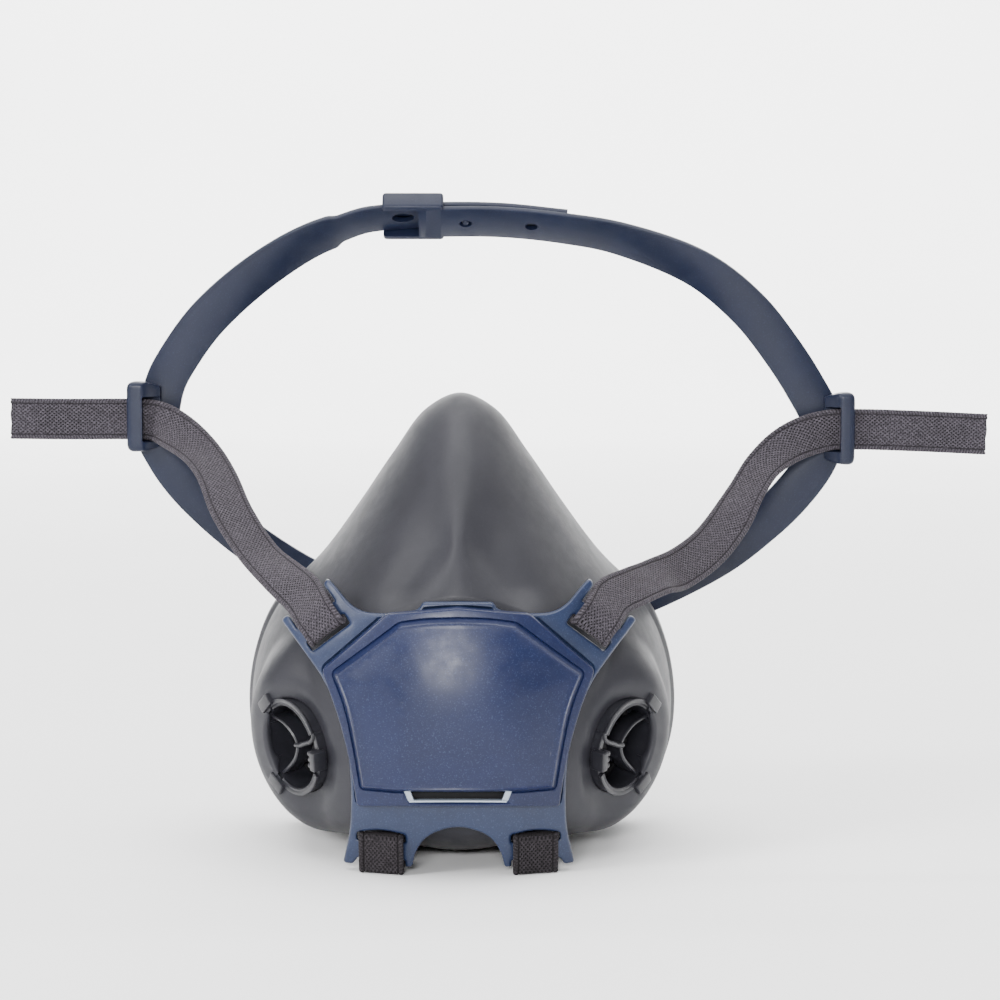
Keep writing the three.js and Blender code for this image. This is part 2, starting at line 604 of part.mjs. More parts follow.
const BACK_STATIONS = [
  [[-99.6, 58.2, 122], [-0.95, 0, -0.3]], [[-97.4, 58.2, 117.5], [-0.85, 0, -0.52]],
  [[-92.3, 58.6, 109], [-0.79, 0, -0.61]], [[-85.2, 60, 100.4], [-0.72, 0, -0.69]],
  [[-69.6, 64, 86], [-0.60, 0, -0.80]], [[-47, 68, 71.5], [-0.45, 0, -0.89]],
  [[-20, 71, 61.5], [-0.24, 0, -0.97]], [[9, 72, 58], [0, 0, -1]], [[38, 71, 60.5], [0.24, 0, -0.97]],
  [[58.1, 68, 67.8], [0.42, 0, -0.91]], [[82.8, 64, 80.9], [0.56, 0, -0.83]],
  [[95.2, 61, 90.8], [0.66, 0, -0.75]], [[104.5, 59.2, 99.8], [0.75, 0, -0.66]],
  [[112.4, 58.2, 110], [0.85, 0, -0.52]], [[116.4, 58.2, 118], [0.95, 0, -0.3]],
];
const CROWN_TILT = [0, -0.75, 0.66];   // direction of the bands' width at the crown
const CROWN_LEFT = [
  [[-98.4, 60.55, 122], [-1, 0, 0.05]], [[-97.6, 60.55, 130], [-0.93, 0, 0.36]],
  [[-95.6, 60.4, 138], [-0.86, 0, 0.5]], [[-91.7, 59.8, 145.2], [-0.82, -0.05, 0.56]],
  [[-81.6, 59, 158.7], [-0.66, -0.2, 0.73]], [[-62.6, 58.4, 174.9], [-0.48, -0.45, 0.75]],
  [[-43.8, 58, 185.2], [-0.24, -0.66, 0.7]], [[-27, 58, 188.3], [-0.1, -0.73, 0.67]],
  [[-10, 58, 189.3], CROWN_TILT], [[12, 58, 189.1], CROWN_TILT], [[33, 58, 187], [0.1, -0.74, 0.66]],
];
const CROWN_RIGHT = [
  [[-14, 58, 189.2], CROWN_TILT], [[12, 58, 189.1], CROWN_TILT], [[33, 58, 187], [0.1, -0.74, 0.66]],
  [[50.4, 58, 183.8], [0.2, -0.68, 0.7]], [[75.6, 58.4, 174.2], [0.42, -0.45, 0.78]],
  [[91.8, 59, 161.4], [0.58, -0.2, 0.79]], [[103, 59.8, 147.5], [0.72, -0.05, 0.69]],
  [[110.2, 60.4, 136.5], [0.82, 0, 0.57]], [[115.2, 60.55, 127], [0.93, 0, 0.36]],
  [[117, 60.55, 118], [1, 0, 0.05]],
];
const TONGUE_FROM = 0.6;         // place along CROWN_LEFT where the band steps down to a tongue
const BAND_W = 13;
const TONGUE_W = 10.6;
const TONGUE_LIFT = -(BAND_T + 0.9);
const STUD_X = 1;                // size stud on the tongue, and the holes that it fits
const SIZE_HOLES = [STUD_X, 22];

function sideFrame({ x, z, strap }) {
  const channel = [strap - ELASTIC_W / 2 - 0.6, strap + ELASTIC_W / 2 + 0.6];
  return box(x, FRAME_Y, z).subtract(box([x[0] - 9, x[1] + 9], CHANNEL_Y, channel));
}

function backBand() {
  const clear = box([-130, 150], [40, CHANNEL_Y[1]], [100, 140]);
  return ribbon(BACK_STATIONS, () => BAND_W, BAND_T, 48).subtract(clear)
    .add(sideFrame(FRAMES.left)).add(sideFrame(FRAMES.right));
}

// A box or disc given in the crown's own directions: x, across the band, and its normal.
function atCrown(solid, x, drop = 0) {
  const across = new THREE.Vector3(...CROWN_TILT).normalize();
  const normal = new THREE.Vector3(1, 0, 0).cross(across);
  const matrix = new THREE.Matrix4().makeBasis(new THREE.Vector3(1, 0, 0), across, normal);
  matrix.setPosition(x, 58, 189.2 - drop);
  const geometry = geometryOf(solid);
  geometry.applyMatrix4(matrix);
  return solidOf(geometry);
}

const peg = (radius, low, high) => {
  const geometry = geometryOf(disc(radius, low, high, 20));
  geometry.rotateX(Math.PI / 2);
  return solidOf(geometry);
};

function crownBandLeft() {
  const ramp = (t) => THREE.MathUtils.smoothstep(t, TONGUE_FROM, TONGUE_FROM + 0.09);
  const width = (t) => (t > TONGUE_FROM + 0.02 ? TONGUE_W : BAND_W);
  return ribbon(CROWN_LEFT, width, BAND_T, 50, (t) => TONGUE_LIFT * ramp(t))
    .add(atCrown(peg(1.0, TONGUE_LIFT, 0.6), STUD_X))
    .subtract(atCrown(peg(1.7, -6, 6), -19));
}

function crownBandRight() {
  const top = TONGUE_LIFT - BAND_T / 2 - 0.6;
  const keeper = box([-25.5, -6], [-8, 8], [top - 1.3, BAND_T / 2])
    .subtract(box([-30, 0], [-TONGUE_W / 2 - 0.7, TONGUE_W / 2 + 0.7], [top, -BAND_T / 2]))
    .subtract(box([-30, -14], [-TONGUE_W / 2 - 0.7, TONGUE_W / 2 + 0.7], [top, 6]));
  let body = ribbon(CROWN_RIGHT, () => BAND_W, BAND_T, 45).add(atCrown(keeper, 0));
  for (const x of SIZE_HOLES) body = body.subtract(atCrown(peg(1.5, -6, 6), x, x > STUD_X ? 1 : 0));
  return body;
}

// ---- Assembly ------------------------------------------------------------------------------
const finish = (colour, roughness) => new THREE.MeshStandardMaterial({
  color: colour, roughness, metalness: 0,
});
const FINISHES = {
  rubber: () => finish(0x55565c, 0.55),
  yoke: () => finish(0x4f6796, 0.45),
  cover: () => finish(0x46598a, 0.35),
  housing: () => finish(0x8d9096, 0.5),
  port: () => finish(0x26262c, 0.4),
  flap: () => finish(0xc9bfa6, 0.5),
  gasket: () => finish(0x2b2b2e, 0.7),
  elastic: () => finish(0x6b6266, 0.9),
  band: () => finish(0x44537a, 0.45),
  clasp: () => finish(0x2a2a2e, 0.4),
};

const group = new THREE.Group();

function place(name, solid, material) {
  const mesh = new THREE.Mesh(geometryOf(solid), FINISHES[material]());
  mesh.name = name;
  group.add(mesh);
  return mesh;
}

place('facepiece', facepiece(), 'rubber');
place('valve_housing', valveHousing(), 'housing');
place('exhalation_flap', exhalationFlap(), 'flap');
place('harness_yoke', harnessYoke(), 'yoke');
place('exhalation_cover', exhalationCover(), 'cover');

for (const [name, side] of [['left', -1], ['right', 1]]) {
  const slide = name === 'left' ? -LOOP_X : LOOP_X;
  place(`port_housing_${name}`, onPort(portHousing(), side), 'port');
  place(`port_gasket_${name}`, onPort(portGasket(), side), 'gasket');
  place(`port_retainer_${name}`, onPort(portRetainer(), side), 'port');
  place(`inhalation_flap_${name}`, onPort(inhalationFlap(), side), 'flap');
  place(`upper_strap_${name}`, upperStrap(name), 'elastic');
  place(`neck_strap_${name}`, neckStrap(name), 'elastic');
  const half = name === 'left' ? ['neck_clasp_hook', neckClaspHook()] : ['neck_clasp_loop', neckClaspLoop()];
  place(...half, 'clasp').position.x = slide;
}

place('back_band', backBand(), 'band');
place('crown_band_left', crownBandLeft(), 'band');
place('crown_band_right', crownBandRight(), 'band');

export default group;
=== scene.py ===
"""Looks of a reusable half-mask respirator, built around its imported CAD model.

Lengths are millimetres inside the helpers and become metres when a mesh is made. The mask looks
along -Y, +Z is up, "left" is -X, and the origin is the flat under the chin.
"""
import json
import math

import bmesh
import bpy
import numpy as np
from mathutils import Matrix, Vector
from mathutils.geometry import delaunay_2d_cdt

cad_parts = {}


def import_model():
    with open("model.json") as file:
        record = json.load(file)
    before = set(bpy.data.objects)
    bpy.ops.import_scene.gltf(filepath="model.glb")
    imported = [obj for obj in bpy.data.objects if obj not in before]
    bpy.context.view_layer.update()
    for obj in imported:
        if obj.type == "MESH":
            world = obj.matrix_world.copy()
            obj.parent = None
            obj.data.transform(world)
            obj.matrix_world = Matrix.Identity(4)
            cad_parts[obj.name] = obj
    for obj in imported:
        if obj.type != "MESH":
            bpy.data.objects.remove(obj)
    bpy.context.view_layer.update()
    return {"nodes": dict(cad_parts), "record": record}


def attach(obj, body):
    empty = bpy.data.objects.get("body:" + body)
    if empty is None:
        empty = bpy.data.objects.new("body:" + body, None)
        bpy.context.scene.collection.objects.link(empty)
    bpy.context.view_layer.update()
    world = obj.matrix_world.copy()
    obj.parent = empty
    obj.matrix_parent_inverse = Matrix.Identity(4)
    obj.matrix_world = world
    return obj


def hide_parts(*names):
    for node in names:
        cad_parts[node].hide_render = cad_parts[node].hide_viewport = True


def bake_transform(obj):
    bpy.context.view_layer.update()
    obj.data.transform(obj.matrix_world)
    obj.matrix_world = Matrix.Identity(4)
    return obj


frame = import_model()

MM = 0.001

# ---- Driving dimensions, as in the CAD source ----
GAP = 0.3
WALL = 2.3
LIP = 11.0

DOME_Y, DOME_Z = -47.0, 40.0
DOME_RX, DOME_RZ = 150.0, 300.0
YOKE_T = 2.4

VALVE_Z = 48.0
WINDOW_R = 17.4
SEAT_Y = -46.6
SEAT_R, SEAT_BORE, SEAT_DEEP = 15.4, 11.8, 6.4

COVER_EDGE, COVER_WALL = 4.2, 1.6

PORT_AT = (46.4, -18.6, 34.4)
PORT_YAW, PORT_DIP = math.radians(53), math.radians(9)
PORT_R, PORT_BORE, PORT_RIM, PORT_INNER = 14.4, 12.8, 4.6, -9.6
BOSS_R, BOSS_T = 19.2, 6.2

ELASTIC_W, ELASTIC_T = 13.0, 1.3
LOOP_X = 22.3
BAR_Z = (4.2, 9.6)
SLOT_TOP, SLOT_HALF = 12.4, 7.1
FORK_X, FORK_Z, FORK_ANGLE = 36.6, 68.2, math.radians(52)
FORK_BAR = (3.4, 7.6)
PRONG = 2.1

BAND_T, BAND_W, TONGUE_W = 1.9, 13.0, 10.6
TONGUE_LIFT = -(BAND_T + 0.9)


# ---- Numbers ----
def step(low, high, x):
    """0 below low, 1 above high and smooth between them."""
    t = np.clip((np.asarray(x, float) - low) / (high - low), 0, 1)
    return t * t * (3 - 2 * t)


def unit(v):
    v = np.asarray(v, float)
    return v / np.maximum(np.linalg.norm(v, axis=-1, keepdims=True), 1e-12)


def catmull(points, t, closed=False, centripetal=True):
    """Points of a Catmull-Rom curve at places t, from 0 to 1 along it."""
    p = np.asarray(points, float)
    n = len(p)
    t = np.asarray(t, float)
    if closed:
        at = (t % 1.0) * n
        i = np.floor(at).astype(int)
        p0, p1, p2, p3 = (p[(i + k) % n] for k in (-1, 0, 1, 2))
    else:
        at = t * (n - 1)
        i = np.clip(np.floor(at).astype(int), 0, n - 2)
        ends = np.vstack([2 * p[0] - p[1], p, 2 * p[-1] - p[-2]])
        p0, p1, p2, p3 = (ends[i + k] for k in range(4))
    w = (at - i)[:, None]
    if centripetal:
        gap = [np.maximum(np.linalg.norm(b - a, axis=1, keepdims=True), 1e-9) ** 0.5
               for a, b in ((p0, p1), (p1, p2), (p2, p3))]
        t1 = ((p1 - p0) / gap[0] - (p2 - p0) / (gap[0] + gap[1]) + (p2 - p1) / gap[1]) * gap[1]
        t2 = ((p2 - p1) / gap[1] - (p3 - p1) / (gap[1] + gap[2]) + (p3 - p2) / gap[2]) * gap[1]
    else:
        t1, t2 = (p2 - p0) / 2, (p3 - p1) / 2
    c2 = -3 * p1 + 3 * p2 - 2 * t1 - t2
    c3 = 2 * p1 - 2 * p2 + t1 + t2
    return p1 + t1 * w + c2 * w ** 2 + c3 * w ** 3


def dome(x, z):
    """Y of the shallow dome that the yoke, the cover and the valve housing share."""
    return DOME_Y + np.asarray(x) ** 2 / DOME_RX + (np.asarray(z) - DOME_Z) ** 2 / DOME_RZ


# ---- Meshes ----
def make(name, shells, sharp=38.0, uvs=None):
    """An object from closed shells, each (points in mm, faces). uvs is one pair per point."""
    points, faces, start = [], [], 0
    for verts, polygons in shells:
        points.append(np.asarray(verts, float))
        faces += [tuple(int(i) + start for i in f) for f in polygons]
        start += len(verts)
    mesh = bpy.data.meshes.new(name)
    mesh.from_pydata((np.vstack(points) * MM).tolist(), [], faces)
    work = bmesh.new()
    work.from_mesh(mesh)
    bmesh.ops.recalc_face_normals(work, faces=work.faces)
    work.to_mesh(mesh)
    work.free()
    if uvs is not None:
        layer = mesh.uv_layers.new(name="webbing")
        corner = np.zeros(len(mesh.loops), np.int32)
        mesh.loops.foreach_get("vertex_index", corner)
        layer.data.foreach_set("uv", np.asarray(uvs, np.float32)[corner].ravel())
    shade(mesh, sharp)
    piece = bpy.data.objects.new(name, mesh)
    bpy.context.scene.collection.objects.link(piece)
    return piece


def shade(mesh, sharp):
    mesh.polygons.foreach_set("use_smooth", [True] * len(mesh.polygons))
    mesh.set_sharp_from_angle(angle=math.radians(sharp))
    mesh.update()


def loft(rings, closed=False, capped=True):
    """A closed shell from rings of points. Open ends are capped, unless capped is False."""
    rings = np.asarray(rings, float)
    n, m = rings.shape[:2]
    faces = []
    for i in range(n if closed else n - 1):
        a, b = i * m, ((i + 1) % n) * m
        faces += [(a + j, b + j, b + (j + 1) % m, a + (j + 1) % m) for j in range(m)]
    if capped and not closed:
        faces += [tuple(range(m)), tuple((n - 1) * m + j for j in range(m))]
    return rings.reshape(-1, 3), faces


def revolve(profile, start=0.0, end=360.0, steps=96):
    """A closed profile of (radius, height) turned round the height axis. The turn is in degrees
    from the top, away from the cover on a port. Gives local points (away, axis, up)."""
    whole = abs(end - start) >= 360
    turns = np.radians(np.linspace(start, end, steps, endpoint=not whole))
    p = np.asarray(profile, float)
    rings = [np.stack([p[:, 0] * math.sin(a), p[:, 1], p[:, 0] * math.cos(a)], axis=1) for a in turns]
    return loft(rings, closed=whole)


def rounded_box(size, centre, radius, turn=None, segments=3):
    """A box with rounded edges, turned by a 3x3 matrix about its centre."""
    work = bmesh.new()
    bmesh.ops.create_cube(work, size=1.0)
    bmesh.ops.scale(work, vec=Vector(size), verts=work.verts)
    bmesh.ops.bevel(work, geom=work.edges[:], offset=radius, segments=segments, profile=0.5,
                    affect="EDGES", clamp_overlap=True)
    verts = np.array([v.co[:] for v in work.verts])
    faces = [[v.index for v in f.verts] for f in work.faces]
    work.free()
    if turn is not None:
        verts = verts @ np.asarray(turn, float).T
    return verts + np.asarray(centre, float), faces


def moved(shell, place):
    verts, faces = shell
    return place(verts), faces


def cut(piece, cutters, operation="DIFFERENCE", sharp=38.0):
    """Cuts closed shells out of a piece, or joins them to it, and keeps the result as its mesh."""
    for cutter in cutters:
        tool = make("cutter", [cutter])
        modifier = piece.modifiers.new("cut", "BOOLEAN")
        modifier.operation, modifier.solver, modifier.object = operation, "EXACT", tool
        shaped = bpy.data.meshes.new_from_object(
            piece.evaluated_get(bpy.context.evaluated_depsgraph_get()))
        piece.modifiers.clear()
        spare = (piece.data, tool.data)
        piece.data = shaped
        bpy.data.objects.remove(tool)
        for mesh in spare:
            bpy.data.meshes.remove(mesh)
    shade(piece.data, sharp)
    return piece


# ---- Domed plates ----
def rounded(points, arc=6):
    """A closed outline whose corners are rounded by the radius in each point's third place."""
    n = len(points)
    corner = [np.array(p[:2], float) for p in points]
    outline = []
    for i, point in enumerate(points):
        here, before, after = corner[i], corner[i - 1], corner[(i + 1) % n]
        radius = point[2] if len(point) > 2 else 0
        if radius <= 0:
            outline.append(here)
            continue
        ends = []
        for other in (before, after):
            length = np.linalg.norm(other - here)
            ends.append(here + (other - here) * min(radius, length * 0.48) / length)
        for t in np.linspace(0, 1, arc + 1):
            outline.append((1 - t) ** 2 * ends[0] + 2 * t * (1 - t) * here + t * t * ends[1])
    return np.array(outline)


def spaced(outline, gap):
    """A closed outline with extra points, so that none is further than gap from the next."""
    result = []
    for a, b in zip(outline, np.roll(outline, -1, axis=0)):
        parts = max(1, int(math.ceil(np.linalg.norm(b - a) / gap)))
        result += [a + (b - a) * k / parts for k in range(parts)]
    keep = [p for i, p in enumerate(result) if np.linalg.norm(p - result[i - 1]) > 0.02]
    return np.array(keep)


def edge_distance(points, outline):
    """Distance of each point to a closed outline."""
    a, b = outline, np.roll(outline, -1, axis=0)
    along = b - a
    square = np.maximum((along ** 2).sum(1), 1e-12)
    best = np.full(len(points), 1e9)
    for begin in range(0, len(points), 2000):
        p = points[begin:begin + 2000, None, :]
        t = np.clip(((p - a) * along).sum(2) / square, 0, 1)
        gap = np.linalg.norm(p - (a + along * t[..., None]), axis=2)
        best[begin:begin + 2000] = gap.min(1)
    return best


def within(points, outline):
    """True for the points inside a closed outline."""
    inside = np.zeros(len(points), bool)
    x, z = points[:, 0], points[:, 1]
    for a, b in zip(outline, np.roll(outline, -1, axis=0)):
        if a[1] == b[1]:
            continue
        crosses = (a[1] > z) != (b[1] > z)
        inside ^= crosses & (x < (b[0] - a[0]) * (z - a[1]) / (b[1] - a[1]) + a[0])
    return inside


def signed(points, outline):
    """Distance to an outline, positive inside it."""
    return np.where(within(points, outline), 1, -1) * edge_distance(points, outline)


def inset(outline, distance):
    """The outline moved inward by a distance, point by point."""
    ahead = unit(np.roll(outline, -1, axis=0) - np.roll(outline, 1, axis=0))
    normal = np.stack([-ahead[:, 1], ahead[:, 0]], axis=1)
    x, z = outline.T
    area = np.sum(x * np.roll(z, -1) - np.roll(x, -1) * z)
    return outline + normal * distance * (1 if area > 0 else -1)


def plate(outline, holes, guides, top, bottom, grid=1.6):
    """A plate seen along Y. `guides` are closed lines that the mesh follows, and `top` and
    `bottom` give Y at points (x, z), whose distance to the nearest edge is also passed."""
    loops = [outline, *holes, *guides]
    points, edges = [], []
    for loop in loops:
        start, count = len(points), len(loop)
        points += [tuple(p) for p in loop]
        edges += [(start + i, start + (i + 1) % count) for i in range(count)]
    low, high = outline.min(0), outline.max(0)
    xs = np.arange(low[0] + grid / 2, high[0], grid)
    zs = np.arange(low[1] + grid / 2, high[1], grid * 0.87)
    lattice = np.array([(x + (grid / 2 if k % 2 else 0), z) for k, z in enumerate(zs) for x in xs])
    keep = within(lattice, outline)
    for loop in loops:
        keep &= edge_distance(lattice, loop) > grid * 0.4
    points += [tuple(p) for p in lattice[keep]]
    verts, _, faces, *_ = delaunay_2d_cdt([Vector(p) for p in points], edges, [], 0, 1e-4)
    flat = np.array([v[:] for v in verts])
    tris = np.array([f[:3] for f in faces if len(f) == 3])
    centre = flat[tris].mean(1)
    inside = within(centre, outline)
    for hole in holes:
        inside &= ~within(centre, hole)
    tris = tris[inside]
    used = np.unique(tris)
    index = np.full(len(flat), -1)
    index[used] = np.arange(len(used))
    flat, tris = flat[used], index[tris]
    edge = np.min([edge_distance(flat, loop) for loop in (outline, *holes)], axis=0)
    count = len(flat)
    front = np.stack([flat[:, 0], top(flat, edge), flat[:, 1]], axis=1)
    back = np.stack([flat[:, 0], bottom(flat, edge), flat[:, 1]], axis=1)
    shell = [tuple(t) for t in tris] + [tuple(t[::-1] + count) for t in tris]
    rim = {}
    for t in tris:
        for a, b in zip(t, np.roll(t, -1)):
            if rim.pop((b, a), None) is None:
                rim[(a, b)] = True
    shell += [(a, a + count, b + count, b) for a, b in rim]
    return np.vstack([front, back]), shell


def round_off(edge, radius):
    """How far a face falls away near its edge, for a quarter-round of that radius."""
    t = np.clip(1 - edge / radius, 0, 1)
    return radius * (1 - np.sqrt(1 - t * t))


# ---- Ribbons ----
def ribbon_frame(stations, spacing):
    """Middle, width direction, normal, tangent and arc length along a ribbon's stations."""
    at = np.array([s[0] for s in stations], float)
    to = np.array([s[1] for s in stations], float)
    fine = np.linspace(0, 1, 1200)
    path = catmull(at, fine)
    length = np.concatenate([[0], np.cumsum(np.linalg.norm(np.diff(path, axis=0), axis=1))])
    steps = max(8, int(length[-1] / spacing))
    arc = np.linspace(0, length[-1], steps + 1)
    t = np.interp(arc, length, fine)
    middle = catmull(at, t)
    tangent = unit(np.gradient(middle, arc, axis=0))
    side = catmull(to, t, centripetal=False)
    side = unit(side - tangent * np.sum(side * tangent, axis=1, keepdims=True))
    return middle, side, np.cross(tangent, side), tangent, arc, t


CORD_W, CORD_PITCH = 1.2, 1.25
CORD_SWELL = (0.09, 0.12)


def webbing_section():
    """Half of the elastic's face, from its middle to its edge: (across, height)."""
    half, thick = ELASTIC_W / 2, ELASTIC_T / 2
    return [(0, 0.86 * thick), (1.6, 0.86 * thick), (3.2, 0.86 * thick), (half - 1.95, 0.86 * thick),
            (half - 1.75, 0.8 * thick), (half - 1.6, 0.45 * thick), (half - 1.45, 0.45 * thick),
            (half - 1.3, 0.8 * thick), (half - 0.95, thick), (half - 0.5, 0.92 * thick),
            (half - 0.15, 0.6 * thick), (half, 0.0)]


def webbing(name, middle, side, normal, tangent, arc):
    """Elastic webbing along a line: edge cords, a groove inside each, and pinked raw ends."""
    half = webbing_section()
    face = [(-s, n) for s, n in half[:0:-1]] + half
    section = face + [(s, -n) for s, n in face[-2:0:-1]]
    rings, uvs = [], []
    for s, n in section:
        cord = abs(s) > ELASTIC_W / 2 - CORD_W
        wave = cord * np.abs(np.sin(np.pi * arc / CORD_PITCH + (1.1 if s > 0 else 0)))
        out = s + np.sign(s) * CORD_SWELL[0] * wave
        high = n * (1 + CORD_SWELL[1] * wave)
        tooth = 0.4 * np.abs(((s / CORD_PITCH + 0.3) % 1) * 2 - 1) + 0.1
        slip = np.clip(arc, tooth, arc[-1] - tooth) - arc
        rings.append(middle + side * out[:, None] + normal * high[:, None] + tangent * slip[:, None])
        uvs.append(np.stack([np.full(len(arc), s), arc], axis=1) / 100)
    verts, faces = loft(np.stack(rings, axis=1), capped=False)
    count, around = len(face), len(section)
    lower = [0] + [around - k for k in range(1, count - 1)] + [count - 1]
    for base in (0, (len(arc) - 1) * around):
        for k in range(count - 1):
            quad = [base + k, base + k + 1, base + lower[k + 1], base + lower[k]]
            faces.append(tuple(dict.fromkeys(quad)))
    return make(name, [(verts, faces)], sharp=60, uvs=np.stack(uvs, axis=1).reshape(-1, 2))


def band(stations, spacing=1.0, width=None, lift=None):
    """A moulded band with softly bevelled edges. width and lift are functions of t, 0 to 1."""
    middle, side, normal, _, _, t = ribbon_frame(stations, spacing)
    w = np.full(len(t), BAND_W) if width is None else width(t)
    lifts = np.zeros(len(t)) if lift is None else lift(t)
    h, bevel, soft, crown = BAND_T / 2, 0.45, 0.135, 0.05
    edge = [(bevel, h), (soft, h - soft), (0, h - bevel), (0, bevel - h), (soft, soft - h), (bevel, -h)]
    corner = [(-1, back, n) for back, n in edge] + [(0, 0, -h - crown)]
    corner += [(1, back, n) for back, n in edge[::-1]] + [(0, 0, h + crown)]
    rings = [middle + side * (sign * (w / 2 - back))[:, None] + normal * (lifts + n)[:, None]
             for sign, back, n in corner]
    return loft(np.stack(rings, axis=1))


# ---- Materials ----
class Finish:
    """A procedural material: a principled surface with a few ways to make textures."""

    def __init__(self, name, **sockets):
        self.material = bpy.data.materials.new(name)
        self.material.use_nodes = True
        self.tree = self.material.node_tree
        self.tree.nodes.clear()
        self.surface = self.tree.nodes.new("ShaderNodeBsdfPrincipled")
        output = self.tree.nodes.new("ShaderNodeOutputMaterial")
        self.tree.links.new(self.surface.outputs[0], output.inputs[0])
        for socket, value in sockets.items():
            self.surface.inputs[socket.replace("_", " ")].default_value = value

    def add(self, kind, inputs=None, **settings):
        node = self.tree.nodes.new(kind)
        for key, value in settings.items():
            setattr(node, key, value)
        for key, value in (inputs or {}).items():
            self.put(node.inputs[key], value)
        return node

    def put(self, socket, value):
        if isinstance(value, bpy.types.NodeSocket):
            self.tree.links.new(value, socket)
        else:
            socket.default_value = value

    def set(self, socket, value):
        self.put(self.surface.inputs[socket], value)

    def math(self, operation, *values):
        node = self.add("ShaderNodeMath", operation=operation)
        for i, value in enumerate(values):
            self.put(node.inputs[i], value)
        return node.outputs[0]

    def place(self, scale=(1, 1, 1)):
        point = self.add("ShaderNodeTexCoord").outputs["Object"]
        return self.add("ShaderNodeMapping", {"Vector": point, "Scale": scale}).outputs[0]

    def noise(self, size, detail=2.0, roughness=0.5, stretch=(1, 1, 1)):
        """Noise whose grains are about `size` millimetres across."""
        node = self.add("ShaderNodeTexNoise", {
            "Vector": self.place(stretch), "Scale": 1000 / size, "Detail": detail,
            "Roughness": roughness})
        return node.outputs[0]

    def remap(self, value, low, high, to_low=0.0, to_high=1.0, smooth=True):
        node = self.add("ShaderNodeMapRange", {
            "Value": value, "From Min": low, "From Max": high, "To Min": to_low, "To Max": to_high})
        node.interpolation_type = "SMOOTHSTEP" if smooth else "LINEAR"
        return node.outputs[0]

    def mix(self, factor, first, second):
        node = self.add("ShaderNodeMix", data_type="RGBA")
        self.put(node.inputs["Factor"], factor)
        for key, value in ((6, first), (7, second)):
            self.put(node.inputs[key], value if isinstance(value, bpy.types.NodeSocket) else (*value, 1))
        return node.outputs[2]

    def bump(self, height, strength, distance):
        """Adds a bump over what is there. distance is in millimetres."""
        node = self.add("ShaderNodeBump", {"Height": height, "Strength": strength,
                                           "Distance": distance * MM})
        normal = self.surface.inputs["Normal"]
        if normal.is_linked:
            self.tree.links.new(normal.links[0].from_socket, node.inputs["Normal"])
        self.tree.links.new(node.outputs[0], normal)


def rubber(name, dark, light, roughness):
    """Moulded rubber: a fine spark-eroded grain, soft mottling and faint handling marks."""
    finish = Finish(name, Specular_IOR_Level=0.3)
    mottle = finish.remap(finish.noise(26, 4, 0.6), 0.35, 0.68)
    tone = finish.mix(mottle, dark, light)
    fleck = finish.remap(finish.noise(0.42, 2, 0.6), 0.56, 0.72)
    finish.set("Base Color", finish.mix(finish.math("MULTIPLY", fleck, 0.3), tone,
                                        tuple(c * 1.5 for c in light)))
    finish.set("Roughness", finish.remap(finish.noise(5, 5, 0.62), 0.3, 0.7,
                                         roughness - 0.03, roughness + 0.04))
    finish.bump(finish.noise(0.5, 3, 0.6), 0.4, 0.06)
    finish.bump(finish.noise(16, 2, 0.5), 0.05, 0.2)
    return finish.material


def plastic(name, base, speck, roughness, coat=0.0, coat_roughness=0.3, amount=0.5, grain=0.2,
            specular=0.5):
    """Moulded plastic with a fine grain, mica specks and slightly uneven gloss."""
    finish = Finish(name, Coat_Weight=coat, Coat_Roughness=coat_roughness,
                    Specular_IOR_Level=specular)
    mottle = finish.remap(finish.noise(18, 3, 0.55), 0.35, 0.65)
    tone = finish.mix(mottle, tuple(c * 0.92 for c in base), tuple(c * 1.08 for c in base))
    mica = finish.remap(finish.noise(0.4, 1, 0.5), 0.55, 0.76)
    finish.set("Base Color", finish.mix(finish.math("MULTIPLY", mica, amount), tone, speck))
    finish.set("Roughness", finish.remap(finish.noise(5, 4, 0.6), 0.3, 0.7,
                                         roughness - 0.05, roughness + 0.06))
    finish.bump(finish.noise(0.6, 2, 0.55), grain, 0.04)
    return finish.material


